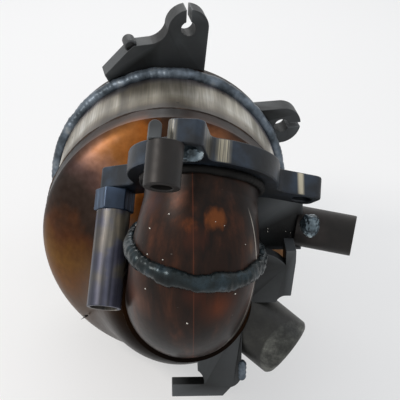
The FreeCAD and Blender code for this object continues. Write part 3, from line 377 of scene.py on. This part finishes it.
# A narrow pale strip on the lobe beside the side sleeve: partly ground bare, partly painted highlight.
apart = put(tree, "ShaderNodeVectorMath", {0: (where, "Object"), 1: (0.0628, -0.2056, 0.0538)}, operation="DISTANCE")
nearby = put(tree, "ShaderNodeMapRange", {0: (apart, "Value"), 1: 0.012, 2: 0.009, 4: 0.75})
flat = put(tree, "ShaderNodeSeparateXYZ", {0: (where, "Object")})
off = put(tree, "ShaderNodeMath", {0: (flat, "X"), 1: 0.0628}, operation="SUBTRACT")
far = put(tree, "ShaderNodeMath", {0: (off, 0)}, operation="ABSOLUTE")
strip = put(tree, "ShaderNodeMapRange", {0: (far, 0), 1: 0.0019, 2: 0.0007})
spot = put(tree, "ShaderNodeMath", {0: (strip, 0), 1: (nearby, 0)}, operation="MULTIPLY")
bare_and_highlight_all = put(tree, "ShaderNodeMath", {0: (bare_and_highlight_bands, 0), 1: (spot, 0)}, operation="MAXIMUM")
broken = put(tree, "ShaderNodeMapRange", {0: (brushed, 0), 1: 0.36, 2: 0.56})
square_on = put(tree, "ShaderNodeVectorMath", {0: (where, "Normal"), 1: (0.096, 0.616, 0.782)},
                operation="DOT_PRODUCT")
flatness = put(tree, "ShaderNodeMath", {0: (square_on, "Value")}, operation="ABSOLUTE")
on_edge = put(tree, "ShaderNodeMapRange", {0: (flatness, 0), 1: 0.75, 2: 0.35})
broken_edge = put(tree, "ShaderNodeMath", {0: (broken, 0), 1: (on_edge, 0)}, operation="MULTIPLY")
bare_and_highlight_share = put(tree, "ShaderNodeMath", {0: (bare_and_highlight_all, 0), 1: (broken_edge, 0)}, operation="MULTIPLY")
ground_and_painted_highlight = put(tree, "ShaderNodeMix", {0: (bare_and_highlight_share, 0), 6: (blued, 0), 7: linear("C8BFA6")}, data_type="RGBA")
rough = put(tree, "ShaderNodeMapRange", {0: (cloud, 0), 3: 0.52, 4: 0.36})
fine = put(tree, "ShaderNodeTexNoise", {"Vector": (where, "Object"), "Scale": 450.0, "Detail": 3.0})
bump = put(tree, "ShaderNodeBump", {"Strength": 0.2, "Distance": 0.0003, "Height": (fine, 0)})
skin = put(tree, "ShaderNodeBsdfPrincipled", {"Base Color": (ground_and_painted_highlight, 2), "Metallic": 0.6, "Roughness": (rough, 0),
                                              "Normal": (bump, 0)})
put(tree, "ShaderNodeOutputMaterial", {"Surface": (skin, 0)})
eased_copy("inlet_flange", flange_steel, 0.9 * MM)

# ---------------------------------------------------------------------------------------------
# Brackets: thick plate cut to shape and welded on, left with its black mill scale, so that only
# the broken edges catch the light. The claws, stepped bracket, foot, saddle, finger and pin.
# ---------------------------------------------------------------------------------------------
# Mill scale: a flat near-black grey that lifts a little at the edges, in clouds about 14 mm across, with a
# grit of 2.6 mm, drawn coarser than real scale.
bracket_steel, tree = blank_material("mild_steel_plate_black_scale")
where = put(tree, "ShaderNodeTexCoord")
cloud = put(tree, "ShaderNodeTexNoise", {"Vector": (where, "Object"), "Scale": 70.0, "Detail": 5.0})
scale_tone = put(tree, "ShaderNodeValToRGB", {0: (cloud, 0)},
                 stops=[(0.3, "121313"), (0.5, "191A1A"), (0.65, "212424"), (0.8, "34383A")])
fine = put(tree, "ShaderNodeTexNoise", {"Vector": (where, "Object"), "Scale": 380.0, "Detail": 4.0})
rough = put(tree, "ShaderNodeMapRange", {0: (fine, 0), 3: 0.42, 4: 0.6})
bump = put(tree, "ShaderNodeBump", {"Strength": 0.3, "Distance": 0.0003, "Height": (fine, 0)})
surface_variation = put(tree, "ShaderNodeNewGeometry")
edge_mask = put(tree, "ShaderNodeMapRange", {0: (surface_variation, "Pointiness"), 1: 0.53, 2: 0.6})
edge_tone = put(tree, "ShaderNodeMix", {0: (edge_mask, 0), 6: (scale_tone, 0), 7: linear("6E7274")},
                data_type="RGBA")
skin = put(tree, "ShaderNodeBsdfPrincipled", {"Base Color": (edge_tone, 2), "Metallic": 0.1,
                                              "Roughness": (rough, 0), "Specular IOR Level": 0.3,
                                              "Normal": (bump, 0)})
put(tree, "ShaderNodeOutputMaterial", {"Surface": (skin, 0)})
for node_name, edge_radius in (("top_claw", 0.3 * MM), ("side_claw", 0.3 * MM), ("step_bracket", 0.35 * MM),
                               ("foot_bracket", 0.4 * MM), ("saddle", 0.35 * MM), ("locating_tab", 0.6 * MM),
                               ("stop_pin", 1.0 * MM)):
    eased_copy(node_name, bracket_steel, edge_radius)

# ---------------------------------------------------------------------------------------------
# Guide tube and its nut: drawn steel tube, heat stained in clouds from blue to straw, painted pale
# down the middle as a highlight and darker at the sides as shade, under a plain hexagon.
# ---------------------------------------------------------------------------------------------
# Drawn tube: smooth, with a soft gloss. Its draw lines are 2.4 mm wide and 71 mm long, drawn coarser than real
# ones. Across the tube the colour is painted pale down the middle as a highlight and darker at the sides as shade.
tube_steel, tree = blank_material("drawn_steel_tube_blue_stained_painted_highlight_and_shade")
where = put(tree, "ShaderNodeTexCoord")
own = put(tree, "ShaderNodeMapping", {"Vector": (where, "Object"), "Rotation": FLANGE_TURN}, vector_type="TEXTURE")
long_place = put(tree, "ShaderNodeMapping", {"Vector": (own, 0), "Scale": (420.0, 420.0, 14.0)})
long_streak = put(tree, "ShaderNodeTexNoise", {"Vector": (long_place, 0), "Scale": 1.0, "Detail": 3.0})
cloud = put(tree, "ShaderNodeTexNoise", {"Vector": (where, "Object"), "Scale": 70.0, "Detail": 3.0})
stained = put(tree, "ShaderNodeValToRGB", {0: (cloud, 0)},
              stops=[(0.34, "5E6278"), (0.47, "74778A"), (0.56, "8C8880"), (0.68, "A09888")])
drawn = put(tree, "ShaderNodeValToRGB", {0: (long_streak, 0)}, stops=[(0.34, "6A6A6A"), (0.6, "FFFFFF")])
streaked = put(tree, "ShaderNodeMix", {0: 0.7, 6: (stained, 0), 7: (drawn, 0)}, data_type="RGBA",
               blend_type="MULTIPLY")
split = put(tree, "ShaderNodeSeparateXYZ", {0: (where, "Object")})
# Across the tube: a painted highlight down the middle and painted shade at the sides.
across_tube_share = put(tree, "ShaderNodeMapRange", {0: (split, "X"), 1: -0.031, 2: -0.018})
painted_highlight_and_shade = put(tree, "ShaderNodeValToRGB", {0: (across_tube_share, 0)},
                stops=[(0.0, "8C8C94"), (0.3, "D8D8D8"), (0.6, "FFFCF4"), (1.0, "A8A6A0")])
toned = put(tree, "ShaderNodeMix", {0: 1.0, 6: (streaked, 2), 7: (painted_highlight_and_shade, 0)}, data_type="RGBA",
            blend_type="MULTIPLY")
skin = put(tree, "ShaderNodeBsdfPrincipled", {"Base Color": (toned, 2), "Metallic": 0.35, "Roughness": 0.4})
put(tree, "ShaderNodeOutputMaterial", {"Surface": (skin, 0)})
eased_copy("guide_tube", tube_steel, 0.35 * MM)

# Milled hexagon: a stronger blue, with mill lines 0.7 mm apart that break up its gloss
nut_steel, tree = blank_material("blued_steel_hexagon_milled")
where = put(tree, "ShaderNodeTexCoord")
own = put(tree, "ShaderNodeMapping", {"Vector": (where, "Object"), "Rotation": FLANGE_TURN}, vector_type="TEXTURE")
milled_place = put(tree, "ShaderNodeMapping", {"Vector": (own, 0), "Rotation": (0, 0, 0.6),
                                               "Scale": (60.0, 1400.0, 60.0)})
milled = put(tree, "ShaderNodeTexNoise", {"Vector": (milled_place, 0), "Scale": 1.0, "Detail": 2.0})
tone = put(tree, "ShaderNodeValToRGB", {0: (milled, 0)}, stops=[(0.35, "243040"), (0.55, "3A4A60"), (0.7, "586E84")])
bump = put(tree, "ShaderNodeBump", {"Strength": 0.3, "Distance": 0.0003, "Height": (milled, 0)})
skin = put(tree, "ShaderNodeBsdfPrincipled", {"Base Color": (tone, 0), "Metallic": 0.5, "Roughness": 0.4,
                                              "Normal": (bump, 0)})
put(tree, "ShaderNodeOutputMaterial", {"Surface": (skin, 0)})
eased_copy("guide_spacer", nut_steel, 0.6 * MM)

# ---------------------------------------------------------------------------------------------
# Spacer sleeve, side sleeve, boss and its disc: turned bar, burnt black-brown all over by the
# heat of the welds. The boss and its disc are a paler grey, with a paler patch painted on as a highlight.
# ---------------------------------------------------------------------------------------------
# Burnt bar: matt soot with a slight gloss, in clouds about 15 mm across with a grit of 2.6 mm, drawn coarser
# than real soot.
sleeve_steel, tree = blank_material("turned_steel_burnt_black_brown")
where = put(tree, "ShaderNodeTexCoord")
cloud = put(tree, "ShaderNodeTexNoise", {"Vector": (where, "Object"), "Scale": 65.0, "Detail": 5.0})
soot = put(tree, "ShaderNodeValToRGB", {0: (cloud, 0)},
           stops=[(0.32, "161413"), (0.5, "1F1C1A"), (0.63, "2A2523"), (0.76, "403833")])
fine = put(tree, "ShaderNodeTexNoise", {"Vector": (where, "Object"), "Scale": 380.0, "Detail": 3.0})
rough = put(tree, "ShaderNodeMapRange", {0: (fine, 0), 3: 0.38, 4: 0.56})
bump = put(tree, "ShaderNodeBump", {"Strength": 0.25, "Distance": 0.0003, "Height": (fine, 0)})
skin = put(tree, "ShaderNodeBsdfPrincipled", {"Base Color": (soot, 0), "Metallic": 0.3,
                                              "Roughness": (rough, 0), "Specular IOR Level": 0.35,
                                              "Normal": (bump, 0)})
put(tree, "ShaderNodeOutputMaterial", {"Surface": (skin, 0)})
for node_name, edge_radius in (("spacer_sleeve", 0.5 * MM), ("side_sleeve", 0.6 * MM)):
    eased_copy(node_name, sleeve_steel, edge_radius)

# The boss is the same bar, with a paler patch on the side wall that faces the inlet end. The patch is a painted
# highlight on a curved wall: it stands in for a lit end face turned that way, which the solid doesn't have.
boss_steel, tree = blank_material("turned_steel_bar_side_painted_highlight")
where = put(tree, "ShaderNodeTexCoord")
cloud = put(tree, "ShaderNodeTexNoise", {"Vector": (where, "Object"), "Scale": 90.0, "Detail": 6.0, "Roughness": 0.7})
soot = put(tree, "ShaderNodeValToRGB", {0: (cloud, 0)}, stops=[(0.32, "1A1A18"), (0.5, "252522"), (0.63, "30302C"),
                                                             (0.76, "484842")])
painted_light_tone = put(tree, "ShaderNodeValToRGB", {0: (cloud, 0)}, stops=[(0.36, "1E1F1C"), (0.48, "3A3B37"), (0.58, "5A5B55"),
                                                               (0.7, "84857C")])
patch_from = put(tree, "ShaderNodeVectorMath", {0: (where, "Object"), 1: (-0.0589, 0.1942, 0.0420)}, operation="ADD")
slant = put(tree, "ShaderNodeVectorMath", {0: (patch_from, 0), 1: (0.639, -0.741, -0.210)}, operation="DOT_PRODUCT")
painted_patch_side = put(tree, "ShaderNodeMapRange", {0: (slant, "Value"), 1: 0.0072, 2: 0.0080})
tone = put(tree, "ShaderNodeMix", {0: (painted_patch_side, 0), 6: (soot, 0), 7: (painted_light_tone, 0)}, data_type="RGBA")
fine = put(tree, "ShaderNodeTexNoise", {"Vector": (where, "Object"), "Scale": 300.0, "Detail": 4.0})
bump = put(tree, "ShaderNodeBump", {"Strength": 0.4, "Distance": 0.0004, "Height": (fine, 0)})
skin = put(tree, "ShaderNodeBsdfPrincipled", {"Base Color": (tone, 2), "Metallic": 0.35, "Roughness": 0.48,
                                              "Normal": (bump, 0)})
put(tree, "ShaderNodeOutputMaterial", {"Surface": (skin, 0)})
for node_name, edge_radius in (("sensor_boss", 0.6 * MM), ("boss_cap", 0.4 * MM)):
    eased_copy(node_name, boss_steel, edge_radius)

# ---------------------------------------------------------------------------------------------
# Outlet shell and ring: a pressed stainless cone in the same straw and brown, with the same painted
# highlight and shade, and a turned ring with a bevelled back, left bright from the lathe.
# ---------------------------------------------------------------------------------------------
dress("outlet_shell", cone_steel)

# Lathe finish: bright and clean, with turning lines about 0.5 mm apart, drawn coarser than real ones
ring_steel, tree = blank_material("turned_stainless_ring")
where = put(tree, "ShaderNodeTexCoord")
split = put(tree, "ShaderNodeSeparateXYZ", {0: (where, "Object")})
flat = put(tree, "ShaderNodeCombineXYZ", {0: (split, "X"), 1: (split, "Z")})
reach = put(tree, "ShaderNodeVectorMath", {0: (flat, 0)}, operation="LENGTH")
lines_place = put(tree, "ShaderNodeCombineXYZ", {0: (reach, "Value"), 1: (split, "Y")})
lines = put(tree, "ShaderNodeTexNoise", {"Vector": (lines_place, 0), "Scale": 2200.0, "Detail": 2.0})
tone = put(tree, "ShaderNodeValToRGB", {0: (lines, 0)}, stops=[(0.35, "8C877E"), (0.65, "C8C3B8")])
bump = put(tree, "ShaderNodeBump", {"Strength": 0.2, "Distance": 0.0002, "Height": (lines, 0)})
skin = put(tree, "ShaderNodeBsdfPrincipled", {"Base Color": (tone, 0), "Metallic": 1.0, "Roughness": 0.34,
                                              "Normal": (bump, 0)})
put(tree, "ShaderNodeOutputMaterial", {"Surface": (skin, 0)})
eased_copy("outlet_ring", ring_steel, 0.4 * MM)

# ---------------------------------------------------------------------------------------------
# Weld beads: laid in short overlapping ripples, a little wider here and narrower there, and
# blued by their own heat. The can's bead is grey-blue, the elbow's is dark and glassy.
# ---------------------------------------------------------------------------------------------
RIPPLE_PITCH = 2.6 * MM


def bead_steel(name, tones, rough_from, rough_to):
    """Blued weld metal: smooth and glossy over the ripples, stained in clouds 8 mm across, with a 2 mm grit."""
    made, tree = blank_material(name)
    where = put(tree, "ShaderNodeTexCoord")
    cloud = put(tree, "ShaderNodeTexNoise", {"Vector": (where, "Object"), "Scale": 130.0, "Detail": 4.0})
    tone = put(tree, "ShaderNodeValToRGB", {0: (cloud, 0)}, stops=tones)
    grit = put(tree, "ShaderNodeTexNoise", {"Vector": (where, "Object"), "Scale": 520.0, "Detail": 3.0})
    rough = put(tree, "ShaderNodeMapRange", {0: (grit, 0), 3: rough_from, 4: rough_to})
    bump = put(tree, "ShaderNodeBump", {"Strength": 0.25, "Distance": 0.0003, "Height": (grit, 0)})
    skin = put(tree, "ShaderNodeBsdfPrincipled", {"Base Color": (tone, 0), "Metallic": 0.6,
                                                  "Roughness": (rough, 0), "Specular IOR Level": 0.35,
                                                  "Normal": (bump, 0)})
    put(tree, "ShaderNodeOutputMaterial", {"Surface": (skin, 0)})
    return made


can_bead_steel = bead_steel("weld_bead_grey_blue", [(0.3, "2C3339"), (0.45, "4A535B"), (0.58, "626C76"),
                                                    (0.7, "7C8388"), (0.82, "A09C96")], 0.34, 0.5)
dark_bead_steel = bead_steel("weld_bead_dark_teal", [(0.3, "15191A"), (0.48, "1E2628"), (0.62, "28343A"),
                                                     (0.76, "4C5860")], 0.2, 0.36)


def finished(name, shape, placing, material, node_name=None):
    """Makes a piece of a bmesh, with its place in its mesh, and lets it ride on the converter."""
    bmesh.ops.transform(shape, matrix=placing, verts=shape.verts)
    bmesh.ops.recalc_face_normals(shape, faces=shape.faces)
    for face in shape.faces:
        face.smooth = True
    mesh = bpy.data.meshes.new(name)
    shape.to_mesh(mesh)
    shape.free()
    mesh.materials.append(material)
    made = bpy.data.objects.new(name, mesh)
    scene.collection.objects.link(made)
    if node_name:
        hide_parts(node_name)
    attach(made, "root")
    return made


def ripple(run, across, seed, ridge, wander):
    """How far weld metal stands out at a place: crescents along the run, and slow unevenness."""
    phase = run / RIPPLE_PITCH - 0.35 * across * across + 0.3 * noise.noise(Vector((run * 300, seed, 0.0)))
    wave = abs(math.sin(math.pi * phase)) ** 0.7
    slow = noise.noise(Vector((run * 90, across * 0.6, seed)))
    quick = noise.noise(Vector((run * 420, across * 1.4, seed + 7.0)))
    return 1 + ridge * (wave - 0.7) + wander * (slow + 0.4 * quick)


def ring_bead(name, radius, section, wide, steps, ridge, wander, seed, placing, material, node_name):
    """A bead round a joint: its section spun round the Z axis, then rippled. At most 1.12 of its section out."""
    shape = bmesh.new()
    bmesh.ops.create_circle(shape, segments=16, radius=section)
    upright = Matrix.Translation((radius, 0, 0)) @ Matrix.Rotation(math.radians(90), 4, "X") @ Matrix.Diagonal(
        (1, wide / section, 1, 1))
    bmesh.ops.transform(shape, matrix=upright, verts=shape.verts)
    bmesh.ops.spin(shape, geom=shape.verts[:] + shape.edges[:], cent=(0, 0, 0), axis=(0, 0, 1),
                   angle=math.tau, steps=steps, use_merge=True)
    bmesh.ops.remove_doubles(shape, verts=shape.verts, dist=0.01 * MM)
    for vert in shape.verts:
        bearing = math.atan2(vert.co.y, vert.co.x)
        middle = Vector((math.cos(bearing), math.sin(bearing), 0)) * radius
        out = vert.co - middle
        stand = ripple(bearing * radius, out.z / wide, seed, ridge, wander)
        sway = 0.2 * wide * noise.noise(Vector((bearing * radius * 120, 3.0, seed)))
        vert.co = middle + out * min(stand, 1.12) + Vector((0, 0, sway))
    return finished(name, shape, placing, material, node_name)


ALONG_CAN = Matrix.Rotation(math.radians(-90), 4, "X")
ring_bead("can_bead", radius=66.0 * MM, section=3.7 * MM, wide=4.3 * MM, steps=640, ridge=0.06, wander=0.2,
          seed=1.0, placing=Matrix.Translation((0, OUTLET_SKIRT_END - 1.2 * MM, 0)) @ ALONG_CAN,
          material=can_bead_steel, node_name="can_weld")
ring_bead("outlet_bead", radius=27.3 * MM, section=2.4 * MM, wide=2.4 * MM, steps=260, ridge=0.1, wander=0.1,
          seed=2.0, placing=Matrix.Translation((0, -10.6 * MM, 0)) @ ALONG_CAN,
          material=can_bead_steel, node_name="outlet_weld")
INLET_CLOCK = Matrix.Rotation(INLET_TURN, 4, "Y")
ring_bead("elbow_bead", radius=29.6 * MM, section=3.6 * MM, wide=4.5 * MM, steps=300, ridge=0.05, wander=0.38,
          seed=3.0, placing=INLET_CLOCK @ Matrix.Translation((9 * MM, -227 * MM, 32 * MM)),
          material=dark_bead_steel, node_name="elbow_seam_weld")
FLANGE_FRAME = Matrix.Translation(FLANGE_PLACE) @ INLET_CLOCK @ Matrix.Rotation(FLANGE_TILT, 4, "X")
# The bead under the flange is painted near black, as the shade that falls there.
shade_black_bead_steel = bead_steel("weld_bead_painted_shade_black", [(0.3, "0A0A09"), (0.5, "121110"), (0.7, "1C1A18")], 0.6, 0.75)
ring_bead("mouth_bead", radius=27.0 * MM, section=2.0 * MM, wide=2.0 * MM, steps=260, ridge=0.08, wander=0.15,
          seed=4.0, placing=FLANGE_FRAME @ Matrix.Translation((0, 0, -1.4 * MM)),
          material=shade_black_bead_steel, node_name="mouth_weld")


def run_bead(name, start, end, section, steps, seed, material, node_name):
    """A short straight bead: its section drawn out step by step from one end to the other."""
    start, end = Vector(start), Vector(end)
    length = (end - start).length
    shape = bmesh.new()
    bmesh.ops.create_uvsphere(shape, u_segments=18, v_segments=steps, radius=section)
    for vert in shape.verts:
        share = (vert.co.z / section + 1) / 2
        body = math.hypot(vert.co.x, vert.co.y)
        full = section * min(1.0, math.sqrt(max(0.0, 1 - (2 * share - 1) ** 8)))
        run = share * length
        stand = ripple(run, vert.co.x / section, seed, 0.22, 0.25) * full / max(body, 1e-6)
        vert.co = Vector((vert.co.x * stand, vert.co.y * stand, run)) if body > 1e-6 else Vector((0, 0, run))
    turn = (end - start).to_track_quat("Z", "Y").to_matrix().to_4x4()
    return finished(name, shape, Matrix.Translation(start) @ turn, material, node_name)


run_bead("step_bead", start=(38.9 * MM, -211.0 * MM, -5 * MM), end=(38.7 * MM, -211.2 * MM, 21.5 * MM),
         section=2.1 * MM, steps=90, seed=5.0, material=can_bead_steel, node_name="step_weld")
run_bead("foot_bead", start=(35.8 * MM, -217.4 * MM, -46.5 * MM), end=(35.8 * MM, -217.4 * MM, -35.0 * MM),
         section=2.0 * MM, steps=50, seed=6.0, material=can_bead_steel, node_name="foot_weld")

# Weld lumps: blued weld metal, with their palest tones painted in as glints.
lump_steel = bead_steel("weld_lump_pale_blue_painted_glints", [(0.34, "2C3438"), (0.46, "5E6C74"), (0.56, "92A0A6"),
                                                (0.68, "D0D8D8")], 0.12, 0.26)


def cooled_lump(name, centre, size, seed, material, node_name):
    """A lump of weld metal that ran together and froze."""
    shape = bmesh.new()
    bmesh.ops.create_icosphere(shape, subdivisions=5, radius=1.0)
    for vert in shape.verts:
        swell = 0.92 + 0.16 * noise.noise(vert.co * 1.3 + Vector((seed, 0, 0)))
        swell += 0.06 * noise.noise(vert.co * 4.0 + Vector((0, seed, 0)))
        vert.co = Vector((vert.co.x * size[0], vert.co.y * size[1], vert.co.z * size[2])) * swell
    return finished(name, shape, Matrix.Translation(centre), material, node_name)


sleeve_lump_place = FLANGE_FRAME @ Vector((-11.0 * MM, -42.4 * MM, 1.6 * MM)) + Vector((1.2, -3.2, 0.8)) * MM
cooled_lump("sleeve_lump", centre=sleeve_lump_place, size=(6.8 * MM, 4.8 * MM, 5.4 * MM), seed=11.0,
            material=lump_steel, node_name="sleeve_weld")
cooled_lump("side_lump", centre=(69.3 * MM, -195.0 * MM, 27.4 * MM), size=(5.6 * MM, 5.4 * MM, 6.2 * MM), seed=12.0,
            material=lump_steel, node_name="side_weld")

# ---------------------------------------------------------------------------------------------
# Brick, mat and seals: a brick of cordierite, held by a mat of mineral fibre with a knitted
# wire ring at each end. The brick is a solid plug; its cells are painted on, down the two ends, dark as
# the shade in open channels.
# ---------------------------------------------------------------------------------------------
# Bare ceramic: pale, dry and matt between cells painted dark as the shade down open channels. The walls are
# 3.8 mm apart, drawn about three times coarser than the 1.27 mm of a common brick, so that they show.
HALF_CELL = 1.9 * MM
brick_ceramic, tree = blank_material("cordierite_honeycomb_painted_cell_shade")
where = put(tree, "ShaderNodeTexCoord")
split = put(tree, "ShaderNodeSeparateXYZ", {0: (where, "Object")})
wall_x = put(tree, "ShaderNodeMath", {0: (split, "X"), 1: HALF_CELL}, operation="PINGPONG")
wall_z = put(tree, "ShaderNodeMath", {0: (split, "Z"), 1: HALF_CELL}, operation="PINGPONG")
nearest = put(tree, "ShaderNodeMath", {0: (wall_x, 0), 1: (wall_z, 0)}, operation="MINIMUM")
wall = put(tree, "ShaderNodeMapRange", {0: (nearest, 0), 1: 0.28 * MM, 2: 0.4 * MM})
clay_and_cell_shade = put(tree, "ShaderNodeMix", {0: (wall, 0), 6: linear("CDBF9E"), 7: linear("2A241C")}, data_type="RGBA")
bump = put(tree, "ShaderNodeBump", {"Strength": 0.6, "Distance": 0.0006, "Height": (wall, 0)}, invert=True)
skin = put(tree, "ShaderNodeBsdfPrincipled", {"Base Color": (clay_and_cell_shade, 2), "Roughness": 0.9, "Normal": (bump, 0)})
put(tree, "ShaderNodeOutputMaterial", {"Surface": (skin, 0)})
dress("honeycomb_brick", brick_ceramic)

# Fibre mat: dull, off-white and woolly, with tufts of 1.4 mm, drawn coarser than real fibre
mat_fibre, tree = blank_material("mineral_fibre_mat")
where = put(tree, "ShaderNodeTexCoord")
fluff = put(tree, "ShaderNodeTexNoise", {"Vector": (where, "Object"), "Scale": 700.0, "Detail": 4.0})
tone = put(tree, "ShaderNodeValToRGB", {0: (fluff, 0)}, stops=[(0.3, "8A8274"), (0.7, "C4BCAA")])
bump = put(tree, "ShaderNodeBump", {"Strength": 0.5, "Distance": 0.0005, "Height": (fluff, 0)})
skin = put(tree, "ShaderNodeBsdfPrincipled", {"Base Color": (tone, 0), "Roughness": 0.95, "Normal": (bump, 0)})
put(tree, "ShaderNodeOutputMaterial", {"Surface": (skin, 0)})
dress("swelling_mat", mat_fibre)

# Knitted wire: grey glints in loops of 1.1 mm
seal_wire, tree = blank_material("knitted_stainless_wire")
where = put(tree, "ShaderNodeTexCoord")
knit = put(tree, "ShaderNodeTexVoronoi", {"Vector": (where, "Object"), "Scale": 900.0})
tone = put(tree, "ShaderNodeValToRGB", {0: (knit, 0)}, stops=[(0.2, "9A958C"), (0.6, "3A3834")])
skin = put(tree, "ShaderNodeBsdfPrincipled", {"Base Color": (tone, 0), "Metallic": 0.9, "Roughness": 0.45})
put(tree, "ShaderNodeOutputMaterial", {"Surface": (skin, 0)})
dress("front_seal_ring", seal_wire)
dress("rear_seal_ring", seal_wire)

# ---------------------------------------------------------------------------------------------
# Lip of the cone: the raw edge of the drawn shell, sealed to the can by a thin brown seam that
# wavers round the joint.
# ---------------------------------------------------------------------------------------------
seam_steel = bead_steel("seam_weld_brown", [(0.3, "1C1612"), (0.5, "2E241E"), (0.65, "463628"), (0.8, "6A5846")],
                        0.5, 0.65)
ring_bead("lip_seam", radius=66.1 * MM, section=1.25 * MM, wide=1.3 * MM, steps=420, ridge=0.1, wander=0.35,
          seed=8.0, placing=Matrix.Translation((0, CONE_LIP + 0.1 * MM, 0)) @ ALONG_CAN,
          material=seam_steel, node_name=None)

# ---------------------------------------------------------------------------------------------
# Weld spatter: balls of steel thrown off the arc and frozen on the elbow and the saddle, each
# 0.4 to 1 mm across and sunk a little into the surface.
# ---------------------------------------------------------------------------------------------
# Bright steel, hardly stained, so that each ball gives a small glint
spatter_steel, tree = blank_material("weld_spatter_bright")
skin = put(tree, "ShaderNodeBsdfPrincipled", {"Base Color": linear("B4B0A8"), "Metallic": 0.9, "Roughness": 0.25})
put(tree, "ShaderNodeOutputMaterial", {"Surface": (skin, 0)})
shape = bmesh.new()
draw = random.Random(5)
for host, count, low, high in (("elbow_upper", 26, (-14, -262, 32), (40, -205, 62)),
                               ("elbow_bowl", 16, (-14, -262, -4), (42, -205, 30)),
                               ("saddle", 6, (40, -196, 14), (66, -188, 26))):
    target = bmesh.new()
    target.from_mesh(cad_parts[host].data)
    surface = BVHTree.FromBMesh(target)
    target.free()
    for _ in range(count):
        guess = Vector([draw.uniform(a, b) * MM for a, b in zip(low, high)])
        place, normal, _, _ = surface.find_nearest(guess)
        size = draw.uniform(0.22, 0.5) * MM
        bmesh.ops.create_icosphere(shape, subdivisions=2, radius=size,
                                   matrix=Matrix.Translation(place + normal * size * 0.3))
finished("weld_spatter", shape, Matrix.Identity(4), spatter_steel)

# A curl of swarf is still caught on the cone, below the guide tube's open end.
shape = bmesh.new()
for length, lean, roll in ((4.2, 0.5, 0.2), (3.0, 1.1, 1.0), (2.4, -0.3, 2.2)):
    bmesh.ops.create_cone(shape, cap_ends=True, segments=8, radius1=0.5 * MM, radius2=0.06 * MM, depth=length * MM,
                          matrix=Matrix.Translation((-43.5 * MM, -171 * MM, -36 * MM))
                          @ Matrix.Rotation(-2.1 + 0.3 * roll, 4, "Y")
                          @ Matrix.Rotation(lean * 0.5, 4, "X") @ Matrix.Translation((0, 0, length * 0.4 * MM)))
finished("swarf_curl", shape, Matrix.Identity(4), sleeve_steel)
